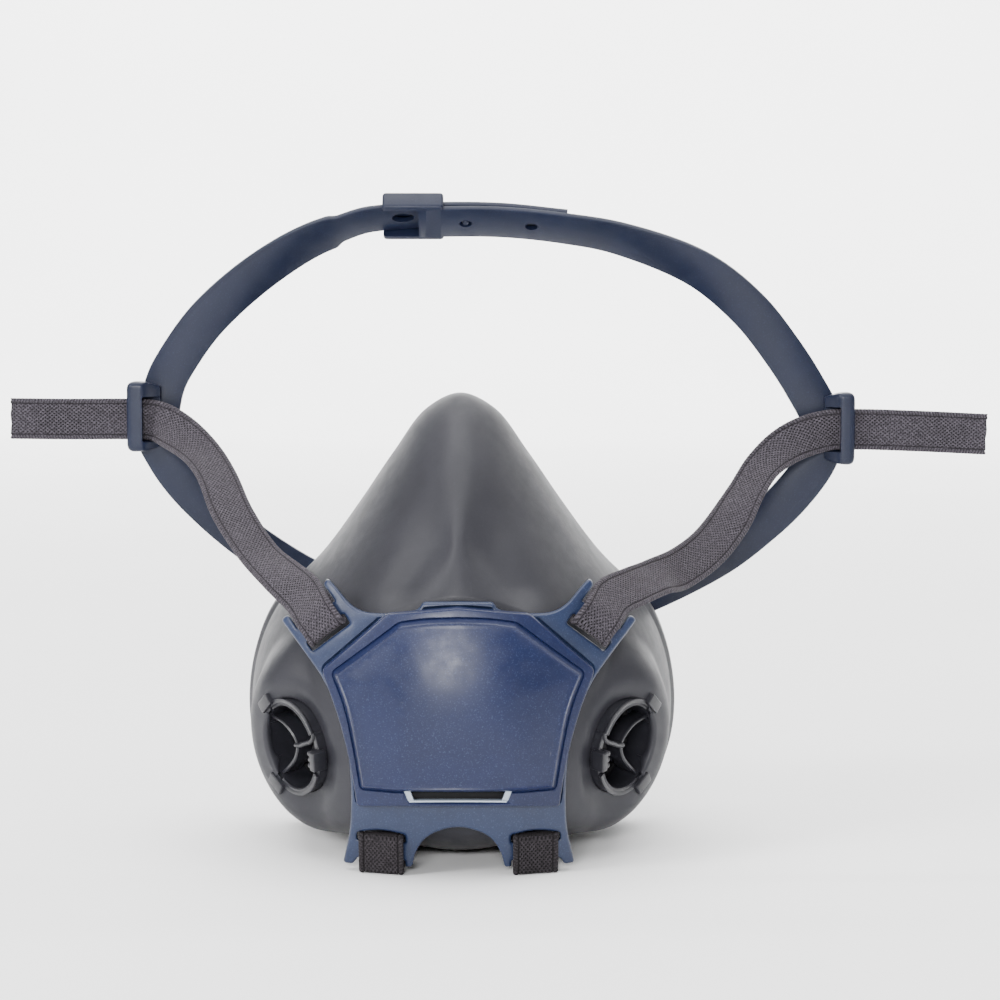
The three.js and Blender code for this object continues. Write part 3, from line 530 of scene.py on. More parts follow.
def elastic(name, yarn, shadow, sheen):
    """Knitted elastic on its own map, which holds millimetres / 100 across and along."""
    finish = Finish(name, Roughness=0.88, Specular_IOR_Level=0.14, Sheen_Weight=sheen,
                    Sheen_Roughness=0.5)
    finish.set("Sheen Tint", (0.75, 0.68, 0.7, 1))
    webbing_map = finish.add("ShaderNodeUVMap", uv_map="webbing").outputs[0]
    parts = finish.add("ShaderNodeSeparateXYZ", {0: webbing_map})
    wale, row, stitch_pitch = 1.16, 1.42, 0.95

    def times(a, b):
        return finish.math("MULTIPLY", a, b)

    def plus(a, b):
        return finish.math("ADD", a, b)

    def less(a, b):
        return finish.math("SUBTRACT", a, b)

    def wave(kind, place, pitch):
        return finish.math(kind, times(place, 2 * math.pi / pitch))

    wobble = times(less(finish.noise(3.0, 2), 0.5), 0.45)
    across = plus(times(parts.outputs[0], 100.0), wobble)
    along = plus(times(parts.outputs[1], 100.0), wobble)
    lattice = times(wave("COSINE", across, wale), wave("COSINE", along, row))
    open_knit = finish.remap(finish.noise(16, 2), 0.35, 0.68, 0.7, 1.0)
    hole = times(finish.remap(lattice, 0.0, 0.55), open_knit)
    edge = finish.math("ABSOLUTE", times(parts.outputs[0], 100.0))
    inner = ELASTIC_W / 2 - 1.8
    field = finish.remap(edge, inner - 0.1, inner + 0.1, 1.0, 0.0)
    slant = plus(times(along, 2 * math.pi / stitch_pitch), times(edge, 3.0))
    stitch = finish.remap(finish.math("SINE", slant), -0.2, 0.8, 0.0, 0.55)
    from_groove = finish.math("ABSOLUTE", less(edge, ELASTIC_W / 2 - 1.52))
    groove = less(1.0, finish.remap(from_groove, 0.1, 0.3))
    outer = times(less(1.0, field), stitch)
    dark = finish.math("MAXIMUM", times(hole, field), outer)
    dark = finish.math("MAXIMUM", dark, times(groove, 0.6))
    thread = finish.mix(finish.remap(finish.noise(0.5, 2, 0.6), 0.35, 0.7),
                        tuple(c * 0.6 for c in yarn), tuple(c * 1.6 for c in yarn))
    finish.set("Base Color", finish.mix(dark, thread, shadow))
    finish.bump(less(1.0, dark), 0.8, 0.22)
    finish.bump(finish.noise(0.25, 2, 0.6), 0.35, 0.05)
    return finish.material


def silicone(name, colour):
    finish = Finish(name, Roughness=0.42, Subsurface_Weight=0.25, Subsurface_Scale=0.002,
                    Specular_IOR_Level=0.4)
    tone = finish.remap(finish.noise(6, 3), 0.3, 0.7)
    finish.set("Base Color", finish.mix(tone, tuple(c * 0.9 for c in colour), colour))
    finish.bump(finish.noise(0.8, 2), 0.1, 0.03)
    return finish.material


FINISH = {
    "face_rubber": rubber("face rubber", (0.016, 0.016, 0.0208), (0.0195, 0.0195, 0.025), 0.47),
    "housing_plastic": plastic("housing plastic", (0.34, 0.39, 0.46), (0.46, 0.5, 0.56), 0.4,
                               amount=0.2),
    "valve_rubber": silicone("valve silicone", (0.5, 0.44, 0.33)),
    "yoke_plastic": plastic("yoke plastic", (0.0118, 0.02, 0.052), (0.055, 0.08, 0.15), 0.36,
                            amount=0.35, grain=0.3, specular=0.4),
    "cover_plastic": plastic("pearly cover plastic", (0.0047, 0.0088, 0.038), (0.045, 0.065, 0.14), 0.38,
                             coat=0.08, coat_roughness=0.3, amount=0.34, grain=0.16, specular=0.3),
    "port_plastic": plastic("port plastic", (0.0125, 0.0125, 0.0165), (0.03, 0.03, 0.036), 0.36,
                            amount=0.3, specular=0.4),
    "gasket_rubber": rubber("gasket rubber", (0.004, 0.004, 0.005), (0.007, 0.007, 0.008), 0.7),
    "elastic": elastic("knitted elastic", (0.047, 0.042, 0.051), (0.0018, 0.0015, 0.0022), 0.08),
    "harness_plastic": plastic("harness plastic", (0.0058, 0.0088, 0.0235), (0.02, 0.028, 0.06), 0.38,
                               amount=0.25, grain=0.22, specular=0.28),
}
DARK_ELASTIC = elastic("knitted elastic in the shade", (0.0235, 0.0205, 0.0235),
                       (0.0012, 0.001, 0.0013), 0.03)


def dress(piece, slot_name):
    """Gives a piece the finish of a material slot."""
    piece.data.materials.clear()
    piece.data.materials.append(FINISH[slot_name])
    return piece


def add(piece, slot_name, body, *nodes):
    """Gives a piece its material and body, and hides the CAD nodes that it stands for."""
    dress(piece, slot_name)
    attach(piece, body)
    if nodes:
        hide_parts(*nodes)
    return piece


# ---- Ports' own directions ----
def port_axes(side):
    """Away from the cover, out of the port, and up."""
    c, s = math.cos(PORT_YAW), math.sin(PORT_YAW)
    cd, sd = math.cos(PORT_DIP), math.sin(PORT_DIP)
    return np.array([[c * side, s, 0], [s * cd * side, -c * cd, -sd], [s * sd * side, -c * sd, cd]])


def port_origin(side):
    return np.array([PORT_AT[0] * side, PORT_AT[1], PORT_AT[2]])


def on_port(side):
    """A function that takes a port's local points to the row frame."""
    return lambda local: np.asarray(local) @ port_axes(side) + port_origin(side)


def in_port(points, side):
    return (np.asarray(points) - port_origin(side)) @ port_axes(side).T


# ---- Facepiece ----
# Ribs from the front ring to the rear rim, over the right half, from the nose to the chin: the
# front ring (x, z), two handles and the rim.
RIBS = [
    ((0, 80), (0, -33, 98), (0, -7, 140.6), (0, 13, 136.6)),
    ((7, 79.5), (7.5, -31, 97), (10.2, -5, 133), (10.4, 14, 132)),
    ((14, 78), (16, -28, 93), (20.2, -3, 119), (20.6, 17, 118.5)),
    ((20.5, 75.5), (25, -26, 86), (30.7, -2, 103), (31.1, 22, 103)),
    ((25.5, 70.5), (33, -26, 78), (41, 0, 88.5), (42, 28, 88)),
    ((29, 62.5), (42, -27, 67), (56, 0, 71.5), (58, 36, 70)),
    ((30, 53), (47, -28, 56), (63, -2, 57.5), (64, 40, 56)),
    ((29.5, 43), (49, -28, 43), (65.5, -2, 41), (66.5, 42, 40)),
    ((28.5, 33), (48, -28, 30), (64, -2, 26), (65, 42, 26)),
    ((27, 25), (43, -29, 19), (58, -4, 14), (60, 40, 14.5)),
    ((23.5, 19.5), (36, -32, 11), (49, -8, 5), (51, 37, 6.5)),
    ((17.5, 18), (24, -34, 10), (36, -15, 1.2), (39, 34, 3)),
    ((9, 18), (12, -37, 9), (19, -23, -0.6), (21, 32, 2.0)),
    ((0, 18), (0, -38, 9), (0, -27, -3), (0, 31, -0.3)),
]
AROUND, ALONG = 280, 96


def face_columns():
    """Points of the plain outer skin: columns round the mask, each from the front to the rim."""
    t = np.linspace(0, 1, ALONG + 1)[:, None]
    half = []
    for front, lead, trail, rim in RIBS:
        start = (front[0], dome(*front) + YOKE_T + GAP + 0.15, front[1])
        a, b, c, d = (np.array(p, float) for p in (start, lead, trail, rim))
        half.append((1 - t) ** 3 * a + 3 * t * (1 - t) ** 2 * b + 3 * t * t * (1 - t) * c + t ** 3 * d)
    whole = np.array(half + [rib * [-1, 1, 1] for rib in half[-2:0:-1]])
    u = np.arange(AROUND) / AROUND
    return np.stack([catmull(whole[:, j], u, closed=True) for j in range(ALONG + 1)], axis=1)


def outward_of(columns):
    """Unit normals of a skin made by face_columns."""
    along = np.gradient(columns, axis=1)
    around = np.roll(columns, -1, axis=0) - np.roll(columns, 1, axis=0)
    return -unit(np.cross(along, around))


def moulded_detail(columns):
    """Height of the moulded features over the plain skin: nose ridge, hollows, rear flange."""
    x, z = np.abs(columns[..., 0]), columns[..., 2]
    t = np.linspace(0, 1, ALONG + 1)[None, :]
    spread = 2.8 + 7.5 * (1 - step(76, 96, z))
    ridge = 1.3 * np.exp(-(x / spread) ** 2) * step(70, 80, z) * (1 - step(92, 114, z))
    hollow = -1.8 * np.exp(-((x - spread * 1.3 - 6) / 6.0) ** 2)
    hollow *= step(74, 84, z) * (1 - step(90, 120, z))
    flange = 0.9 * step(0.915, 0.935, t) - 0.35 * np.exp(-((t - 0.9) / 0.012) ** 2)
    return ridge + hollow + flange * (1 - step(66, 84, z))


def settle(points, side, level, reach, fade, wide_fade):
    """Brings the skin near a port to a height over its seat, given by level(away). The change dies
    out over `fade` on the cover side and over `wide_fade` elsewhere."""
    local = in_port(points.reshape(-1, 3), side)
    radius = np.hypot(local[:, 0], local[:, 2])
    over = fade + (wide_fade - fade) * step(-12, 6, local[:, 0])
    share = (1 - step(reach, reach + over, radius)) * (np.abs(local[:, 1]) < 18)
    local[:, 1] += (level(local[:, 0]) - local[:, 1]) * share
    return on_port(side)(local).reshape(points.shape)


def boss_height(away):
    """The rubber round a port stands higher on the side away from the cover."""
    return 0.9 + 4.3 * step(-9, 12, away)


LIP_PROFILE = [(0.05, 0.9), (0.2, 1.35), (0.42, 1.1), (0.65, -0.4), (0.84, -2.2), (0.95, -3.5),
               (1.0, -4.3), (0.985, -5.1), (0.93, -5.3), (0.8, -3.9), (0.62, -2.3), (0.42, -1.0)]
COLLAR_IN, COLLAR_T = 2.4, 1.9


def facepiece():
    """The rubber shell: outer skin, in-turned lip, inner skin and a collar round the front."""
    skin = face_columns()
    normal = outward_of(skin)
    inner = skin - normal * WALL
    inner[:, -1, 1] = skin[:, -1, 1] - 1.8
    outer = skin + normal * moulded_detail(skin)[..., None]
    for side in (-1, 1):
        outer = settle(outer, side, boss_height, BOSS_R - 2.2, 5.0, 17.0)
        inner = settle(inner, side, lambda away: np.full(len(away), -BOSS_T), 17.6, 4.0, 4.0)
    rim, front = skin[:, -1], skin[:, 0]
    inward = unit(np.stack([-rim[:, 0], np.zeros(AROUND), 58 - rim[:, 2]], axis=1))
    lip = np.stack([rim + inward * LIP * a + np.array([0, b, 0]) for a, b in LIP_PROFILE], axis=1)
    inside = unit(np.stack([-front[:, 0], np.zeros(AROUND), VALVE_Z - front[:, 2]], axis=1))
    collar = front + inside * COLLAR_IN
    collar[:, 1] += dome(collar[:, 0], collar[:, 2]) - dome(front[:, 0], front[:, 2])
    collar = np.stack([collar + [0, COLLAR_T, 0], collar], axis=1)
    rings = np.concatenate([outer, lip, inner[:, ::-1], collar], axis=1)
    piece = make("facepiece_shell", [loft(rings, closed=True)], sharp=50)
    bores = [(PORT_R + 0.28, 0.0, PORT_RIM + 0.12), (PORT_BORE + 0.1, -16, 22), (PORT_R + GAP, -16, 0.1)]
    for side in (-1, 1):
        cut(piece, [moved(cylinder(*bore), on_port(side)) for bore in bores], sharp=40)
    floor = rounded_box((200, 200, 12), (0, 0, -6), 0.01, segments=1)
    return cut(piece, [floor], sharp=40)


def cylinder(radius, low, high):
    profile = [(0, low), (radius, low), (radius, high), (0, high)]
    return solid_of_revolution(revolve(profile, steps=128))


def solid_of_revolution(shell):
    """Joins the doubled points of a shell that meets its own axis."""
    verts, faces = shell
    keys = {}
    index = [keys.setdefault(tuple(np.round(v, 5)), len(keys)) for v in verts]
    clean = []
    for f in faces:
        ring = list(dict.fromkeys(index[i] for i in f))
        if len(ring) > 2:
            clean.append(ring)
    return np.array(list(keys)), clean


# ---- Yoke and cover ----
def fork_point(s, q, radius=0.0):
    """A point of the right upper fork: s outward along the strap and q across it."""
    c, d = math.cos(FORK_ANGLE), math.sin(FORK_ANGLE)
    return (FORK_X + s * c + q * d, FORK_Z + s * d - q * c, radius)


def mirrored(half):
    return half + [(-x, z, r) for x, z, r in half[::-1] if x != 0]


def yoke_outline():
    half = [
        (0, 79.4, 0), (10, 79.2, 1), (11.4, 76.9, 1.5), (20.5, 75.6, 2), (27, 75.6, 4), (31.4, 77.8, 4),
        fork_point(10, -SLOT_HALF - PRONG - 0.6, 6), fork_point(14, -SLOT_HALF - PRONG, 1.2),
        fork_point(13.4, -SLOT_HALF, 1), fork_point(FORK_BAR[1], -SLOT_HALF, 0.5),
        fork_point(FORK_BAR[1], SLOT_HALF, 0.5), fork_point(12.4, SLOT_HALF, 1),
        fork_point(12.6, SLOT_HALF + PRONG + 0.5, 1.2), fork_point(0, SLOT_HALF + PRONG, 8),
        (38.4, 55.5, 8), (34.2, 46, 8), (31.6, 36, 8), (30.8, 24, 8), (31.2, 13, 6), (32.8, 6, 4),
        (33.6, 2.2, 0.8), (30.9, 1.9, 0.8), (29.2, BAR_Z[0], 0.4), (15.4, BAR_Z[0], 0.4),
        (15.2, 2.2, 0.6), (13.4, 2.2, 0.8), (12.2, 7.4, 4), (8.8, 12.4, 5), (0, 15.4, 9),
    ]
    return rounded(mirrored(half))


def circle(x, z, radius, steps=96):
    a = np.linspace(0, 2 * math.pi, steps, endpoint=False)
    return np.stack([x + radius * np.cos(a), z + radius * np.sin(a)], axis=1)


def yoke():
    """The domed yoke with its window, forks and strap bars, and a groove round the cover."""
    outline = spaced(yoke_outline(), 1.2)
    holes = [circle(0, VALVE_Z, WINDOW_R)]
    for side in (-1, 1):
        upper = [fork_point(0, -SLOT_HALF, 0.8), fork_point(0, SLOT_HALF, 0.8),
                 fork_point(FORK_BAR[0], SLOT_HALF, 0.8), fork_point(FORK_BAR[0], -SLOT_HALF, 0.8)]
        left, right = LOOP_X - SLOT_HALF, LOOP_X + SLOT_HALF
        lower = [(left, BAR_Z[1], 0.6), (right, BAR_Z[1], 0.6), (right, SLOT_TOP - 0.4, 0.8),
                 (LOOP_X, SLOT_TOP + 1.0, 9), (left, SLOT_TOP - 0.4, 0.8)]
        for corners in (upper, lower):
            holes.append(spaced(rounded([(x * side, z, r) for x, z, r in corners]), 1.0))
    soft = 0.75
    guides = [inset(outline, d * soft) for d in (0.12, 0.4, 0.75, 1.05)]
    guides += [inset(hole, -d * soft) for hole in holes[1:] for d in (0.2, 0.6, 1.05)]
    lid = spaced(cover_outline(), 1.2)
    guides += [inset(lid, d) for d in (0.6, -0.05, -0.35, -0.7)]

    def top(p, edge):
        beyond = -signed(p, lid)
        groove = 1.1 * np.exp(-((beyond - 0.1) / 0.42) ** 2) * step(0.6, 1.6, edge)
        return dome(*p.T) + round_off(edge, soft) + groove

    def bottom(p, edge):
        return dome(*p.T) + YOKE_T - round_off(edge, soft * 0.6)

    return make("harness_yoke_moulding", [plate(outline, holes, guides, top, bottom, 1.8)], sharp=34)


def cover_outline():
    return rounded(mirrored([
        (0, 78.2, 0), (20.4, 76.2, 1.3), (39.3, 59.4, 1.6), (34.2, 46.5, 12), (31, 34, 12),
        (29, 20.8, 0.9), (14, 21.7, 0), (0, 21.9, 0)]), 4)


def panel_outline():
    return rounded(mirrored([
        (0, 75.2, 0), (9, 74.9, 6), (16.6, 73.7, 1.2), (36.0, 58.9, 1.3), (32.0, 49.5, 12),
        (29.6, 38, 12), (27.7, 26.2, 0.7), (18, 25.9, 1), (0, 26.2, 0)]), 4)


def outlet_outline():
    return rounded([(-15.4, 26.0, 0.4), (15.4, 26.0, 0.4), (14.2, 22.9, 0.5), (-14.2, 22.9, 0.5)])


def cover():
    """The hollow cover: a rim, a groove, and a raised crowned panel with a bead along its edge."""
    outline = spaced(cover_outline(), 1.2)
    panel = spaced(panel_outline(), 1.2)
    outlet = spaced(outlet_outline(), 0.8)
    soft, bevel, rise, wall = 0.45, 0.85, 1.6, COVER_WALL
    guides = [inset(outline, d) for d in (0.1, 0.28, 0.6, wall, wall + 0.25)]
    guides += [inset(panel, d) for d in (-0.6, -0.42, -0.25, -0.05, 0.2, 0.5)]
    guides += [inset(panel, bevel + d) for d in (-0.1, 0.1, 0.35, 0.8)]

    def outside(p, edge):
        d = signed(p, panel)
        slope = rise * np.clip(d / bevel, 0, 1) ** 0.85
        groove = -0.45 * np.exp(-((d + 0.25) / 0.2) ** 2)
        bead = 0.3 * np.exp(-((d - bevel - 0.05) / 0.32) ** 2)
        crown = 1.5 * np.sin(np.clip(d / 24, 0, 1) * math.pi / 2)
        lift = COVER_EDGE + slope + groove + bead + crown
        return dome(*p.T) - lift + round_off(edge, soft)

    def bottom(p, _):
        to_rim = edge_distance(p, outline)
        ceiling = outside(p, np.full(len(p), 9.0)) + wall
        return np.where(to_rim < wall + 0.02, dome(*p.T) - GAP - 0.35, ceiling)

    return make("exhalation_cover_moulding",
                [plate(outline, [outlet], guides, outside, bottom, 1.5)], sharp=30)


def outlet_shade_plate():
    """A near-black plate inside the cover that the outlet opens on: painted shade, standing in for the
    shadow deep inside the cover.
    """
    section = ((0.9, 21.9), (0.9, 28.4), (0.5, 28.4), (0.5, 21.9))
    rings = [[(x, float(dome(x, z)) - lift, z) for lift, z in section] for x in np.linspace(-15, 15, 21)]
    return make("outlet_shade_plate", [loft(rings)], sharp=30)


def outlet_frame():
    """The pale lip round the outlet under the cover's panel: two end pieces and a thin sill."""
    shells = []
    for side in (-1, 1):
        flat = [(x * side, z) for x, z in ((12.4, 22.9), (14.2, 22.9), (15.6, 26.4), (13.8, 26.4))]
        shells.append(loft([[(x, float(dome(x, z)) - lift, z) for x, z in flat] for lift in (3.5, 1.0)]))
    rings = []
    for x in np.linspace(-13.9, 13.9, 28):
        y, z = float(dome(x, 22.9)), 22.85 + 0.35 * (1 - (x / 14) ** 2)
        rings.append([(x, y - 3.9, z - 0.1), (x, y - 3.9, z + 0.35), (x, y - 1.2, z + 0.35),
                      (x, y - 1.2, z - 0.1)])
    shells.append(loft(rings))
    return make("outlet_frame", shells, sharp=30)


# ---- Ports ----
LUG_TURNS = (36.0, 143.0)          # degrees from the top, away from the cover
GRIP_TURN, GRIP_TOP, TOOTH_STEP = 262.0, 7.2, 8.6
SPIDER_HUB = (-2, 0.7)


def turn_matrix(degrees):
    """Turns local port points round the port's axis, from the top towards the away side."""
    a = math.radians(degrees)
    c, s = math.cos(a), math.sin(a)
    return np.array([[c, 0, s], [0, 1, 0], [-s, 0, c]])


def turned_box(size, radius_at, height, turn, radius=0.35):
    """A rounded block on a port: size is (round the port, along its axis, outward from it)."""
    m = turn_matrix(turn)
    return rounded_box(size, m @ np.array([0, height, radius_at]), radius, m)


def web(points, width, low, high, steps=26):
    """A thin curved wall in a port, along (away, up) points, from height low to high."""
    path = catmull(np.array([(a, 0, b) for a, b in points], float), np.linspace(0, 1, steps))
    ahead = unit(np.gradient(path, axis=0))
    across = np.stack([-ahead[:, 2], np.zeros(steps), ahead[:, 0]], axis=1)
    soft = width * 0.28
    section = [(-0.5, low), (-0.5, high - soft), (-0.5 + soft / width, high),
               (0.5 - soft / width, high), (0.5, high - soft), (0.5, low)]
    rings = np.stack([path + across * (s * width) + np.array([0, h, 0]) for s, h in section], axis=1)
    return loft(rings)


def port_shells():
    tube = revolve([(PORT_BORE, PORT_INNER), (PORT_R, PORT_INNER), (PORT_R, PORT_RIM - 1.1),
                    (PORT_R - 0.25, PORT_RIM - 0.9), (PORT_BORE, PORT_RIM - 0.9)], steps=144)
    bead = [(PORT_BORE - 0.15, PORT_RIM - 1.0), (PORT_BORE - 0.25, PORT_RIM - 0.3),
            (PORT_BORE + 0.1, PORT_RIM + 0.05), (PORT_BORE + 0.75, PORT_RIM - 0.12),
            (PORT_R - 0.15, PORT_RIM + 0.18), (PORT_R + 0.3, PORT_RIM + 0.1),
            (PORT_R + 0.42, PORT_RIM - 0.35), (PORT_R + 0.1, PORT_RIM - 1.0)]
    shells = [tube, revolve(bead, -66, 32, 72), revolve(bead, 148, 241, 72)]
    shells += [turned_box((6.4, 3.6, 3.6), PORT_R + 1.0, PORT_RIM - 0.4, turn) for turn in LUG_TURNS]
    grip = GRIP_TOP - 2.9
    shells.append(turned_box((5.8, 4.6, 2.4), PORT_R + 0.1, grip, GRIP_TURN))
    shells += [turned_box((1.7, 3.6, 2.0), PORT_R - 1.9, grip, GRIP_TURN + k * TOOTH_STEP, 0.6)
               for k in (-1, 0, 1)]
    arms = [([(-0.9, 2.6), (1.4, 4.7), (4.6, 6.5), (8.8, 7.5), (12.0, 8.2)], 1.0, 3.2),
            ([(-1.2, -1.3), (0.6, -3.9), (4.2, -6.8), (8.0, -9.3), (10.0, -10.6)], 1.2, 3.2),
            ([(-4.6, 1.0), (-7.4, 2.0), (-10.6, 3.0), (-12.4, 4.4), (-12.9, 6.2)], 1.3, 4.3)]
    shells += [web([SPIDER_HUB, *route], width, -2.0, high) for route, width, high in arms]
    for route in ([(11.3, 5.6), (12.6, 8.6), (10.4, 11.0)], [(12.0, -5.2), (11.4, -8.8), (8.6, -11.2)]):
        shells.append(web(route, 1.1, 0.5, 4.0, 12))
    for route in ([(9.8, -8.6), (0, -5.4), (-12.9, -2.9)], [(-12.4, 3.4), (0, 8.6), (8.6, 9.6)]):
        shells.append(web(route, 0.9, -6.5, -3.0, 12))
    base = PORT_INNER
    hub = [(0.0, base), (2.8, base), (2.8, base + 3.4), (2.2, base + 3.8), (0.0, base + 3.8)]
    shells.append(solid_of_revolution(revolve(hub, steps=40)))
    spoke = (2.0, 3.4, PORT_BORE - 0.6)
    shells += [turned_box(spoke, (PORT_BORE + 1.4) / 2, base + 1.7, turn, 0.4) for turn in (57, 132, 270)]
    return shells


def liner():
    """The rubber that laps over a port's rim and down its bore, on the side away from the cover."""
    first, last = 44, 138
    turns = np.radians(np.linspace(first, last, 60))
    fade = np.clip(np.sin((np.degrees(turns) - first) / (last - first) * math.pi), 0, 1) ** 0.35
    outer, top = PORT_BORE + 0.6, PORT_RIM
    rings = []
    for a, f in zip(turns, fade):
        low = top - 1.5 * f - 1.1 * math.exp(-((math.degrees(a) - 118) / 8) ** 2)
        inner = PORT_BORE - 0.9 * f
        section = [(PORT_BORE + 0.15, low), (inner + 0.25, low), (inner, low + 0.5), (inner, top + 0.1),
                   (inner + 0.5, top + 0.75), (outer, top + 0.8), (outer, top + 0.12),
                   (PORT_BORE + 0.15, top + 0.05)]
        rings.append([(r * math.sin(a), h, r * math.cos(a)) for r, h in section])
    return loft(rings)


# ---- Straps ----
UPPER_ROUTES = {
    "left": [
        ((-45.5, -25.2, 79.3), (0.76, -0.1, 0.62)), ((-52.6, -14, 83.8), (0.85, 0.25, 0.42)),
        ((-61.1, 0, 89.5), (0.87, 0.44, 0.20)), ((-70, 14, 100), (0.91, 0.37, 0.16)),
        ((-76.3, 28, 110.5), (0.90, 0.42, 0.08)), ((-83, 40, 117.2), (0.80, 0.47, 0.37)),
        ((-91.6, 49.5, 122.8), (0.55, 0.25, 0.80)), ((-98.6, 54.9, 125.7), (0.12, 0, 1)),
        ((-107, 55.2, 126.2), (0, 0, 1)), ((-126, 55.2, 126.2), (0, 0, 1)),
        ((-145, 55.2, 126.4), (0.04, 0, 1)),
    ],
    "right": [
        ((44.9, -25.2, 78.6), (-0.75, -0.1, 0.63)), ((51.6, -15, 80.6), (-0.56, 0.40, 0.72)),
        ((59.1, -3, 82), (-0.36, 0.68, 0.63)), ((66.5, 9, 83), (-0.28, 0.45, 0.85)),
        ((76, 21, 88), (-0.43, 0.36, 0.82)), ((83.4, 31, 95.2), (-0.65, 0.42, 0.63)),
        ((89.6, 40, 104), (-0.60, 0.70, 0.36)), ((96.3, 47.5, 112.4), (-0.36, 0.72, 0.58)),
        ((105.5, 52.6, 118.9), (-0.2, 0.4, 0.9)), ((116, 55, 122.4), (0, 0, 1)),
        ((125.5, 55.2, 122.9), (0, 0, 1)), ((147, 55.2, 122.3), (0, 0, 1)),
        ((168.2, 55.2, 121.3), (0.03, 0, 1)),
    ],
}
FORK_TURN = [(10.5, 4.4), (8, 4.2), (5, 4.1), (2.6, 3.4), (1.75, 1.2), (2.6, -1.1), (5, -1.7),
             (8.5, -1.7)]
BEND = {"left": ((-46, -24, 80), (-70, 14, 100)), "right": ((46, -23, 79), (72, 16, 86))}


def upper_strap(name):
    """The webbing from its turn round the fork's bar, through the side frame, to its cut end."""
    side = -1 if name == "left" else 1
    inner, outer = fork_point(0, -0.5), fork_point(0, 0.5)
    across = ((inner[0] - outer[0]) * side, dome(*inner[:2]) - dome(*outer[:2]), inner[1] - outer[1])
    turn = []
    for s, behind in FORK_TURN:
        x, z, _ = fork_point(s, 0)
        turn.append(((x * side, float(dome(x, z)) + behind, z), across))
    *frames, _ = ribbon_frame(turn + UPPER_ROUTES[name], 0.42)
    return webbing(f"upper_strap_{name}_webbing", *frames)


def filleted(corners, radius, steps=7):
    """Corner points (y, z) of a route, each inner corner turned by an arc."""
    points = [np.array(corners[0], float)]
    for before, here, after in zip(corners, corners[1:], corners[2:]):
        here = np.array(here, float)
        u, v = unit(np.array(before) - here), unit(np.array(after) - here)
        half = math.acos(float(np.clip(u @ v, -1, 1))) / 2
        centre = here + unit(u + v) * radius / math.sin(half)
        reach = radius / math.tan(half)
        start, end = here + u * reach - centre, here + v * reach - centre
        first, last = math.atan2(start[1], start[0]), math.atan2(end[1], end[0])
        sweep = (last - first + math.pi) % (2 * math.pi) - math.pi
        for k in range(steps + 1):
            a = first + sweep * k / steps
            points.append(centre + radius * np.array([math.cos(a), math.sin(a)]))
    points.append(np.array(corners[-1], float))
    return np.array(points)


HANK_Y = (58.0, 114.0)
CLASP_Y = 128.0


def neck_strap(name):
    """The strap's loop round the yoke's lower bar and its flat hank behind the chin."""
    x = -LOOP_X if name == "left" else LOOP_X
    half, clear = ELASTIC_T / 2, 0.7

    def before(z):
        return float(dome(LOOP_X, z)) - clear - half

    def behind(z):
        return float(dome(LOOP_X, z)) + YOKE_T + clear + half

    over = BAR_Z[1] + 1.6
    floor, second, third = half, half * 3 + 0.2, half * 5 + 0.4
    route = filleted([
        (behind(0) + 9, second), (behind(2), second), (behind(over), over), (before(over), over),
        (before(0), floor), (HANK_Y[1], floor), (HANK_Y[1], second), (HANK_Y[0], second),
        (HANK_Y[0], third), (HANK_Y[1] + 4, third), (CLASP_Y - 1, 5.1), (CLASP_Y + 4.4, 5.1),
        (CLASP_Y + 4.4, floor), (CLASP_Y - 8, floor)], half + 0.09)
    length = np.concatenate([[0], np.cumsum(np.linalg.norm(np.diff(route, axis=0), axis=1))])
    marks = np.unique(np.concatenate([length, np.arange(0, length[-1], 0.7)]))
    marks = marks[np.concatenate([[True], np.diff(marks) > 0.03])]
    y, z = (np.interp(marks, length, route[:, k]) for k in (0, 1))
    ahead_y, ahead_z = unit(np.gradient(np.stack([y, z], axis=1), marks, axis=0)).T
    none, one = np.zeros(len(marks)), np.ones(len(marks))
    lean = 2 * x / DOME_RX * (1 - step(-30, 25, y))
    middle, side, normal, along = (np.stack(parts, axis=1) for parts in (
        (one * x, y, z), (one, lean, none), (none, -ahead_z, ahead_y), (none, ahead_y, ahead_z)))
    return webbing(f"neck_strap_{name}_webbing", middle, side, normal, along, marks)


# ---- Neck clasp ----
def rectangle(half, low, high, radius):
    return rounded([(-half, low, radius), (half, low, radius), (half, high, radius), (-half, high, radius)])


def flat_ring(x, y0, y1, half, hole, z0, z1):
    """A rounded plate lying flat with a rounded window: hole is (half-width, y from, y to)."""
    outline = spaced(rectangle(half, y0, y1, 2), 1.0)
    holes = [spaced(rectangle(*hole, 0.8), 0.8)] if hole else []
    guides = [inset(outline, d) for d in (0.12, 0.35, 0.6)]
    guides += [inset(h, -d) for h in holes for d in (0.2, 0.5)]
    verts, faces = plate(outline, holes, guides, lambda _, e: z1 - round_off(e, 0.5),
                         lambda _, e: z0 + round_off(e, 0.3), 1.4)
    return np.stack([verts[:, 0] + x, verts[:, 2], verts[:, 1]], axis=1), faces


def clasp_shells(x):
    """The slider on a neck strap that both halves of the clasp begin with."""
    y = CLASP_Y
    return [flat_ring(x, y, y + 9, 9.2, (6.9, y + 3, y + 6.4), 1.8, 4.2),
            rounded_box((18.4, 4, 4.2), (x, y + 9, 2.1), 0.5)]


def clasp_loop():
    x, y = LOOP_X, CLASP_Y + 10.5
    shells = clasp_shells(x) + [flat_ring(x, y, y + 12, 9.2, (6.2, y + 2.5, y + 8.5), 0, 3.0),
                                rounded_box((18, 3, 3), (x, y - 0.5, 1.5), 0.4)]
    return make("neck_clasp_loop_moulding", shells, sharp=35)


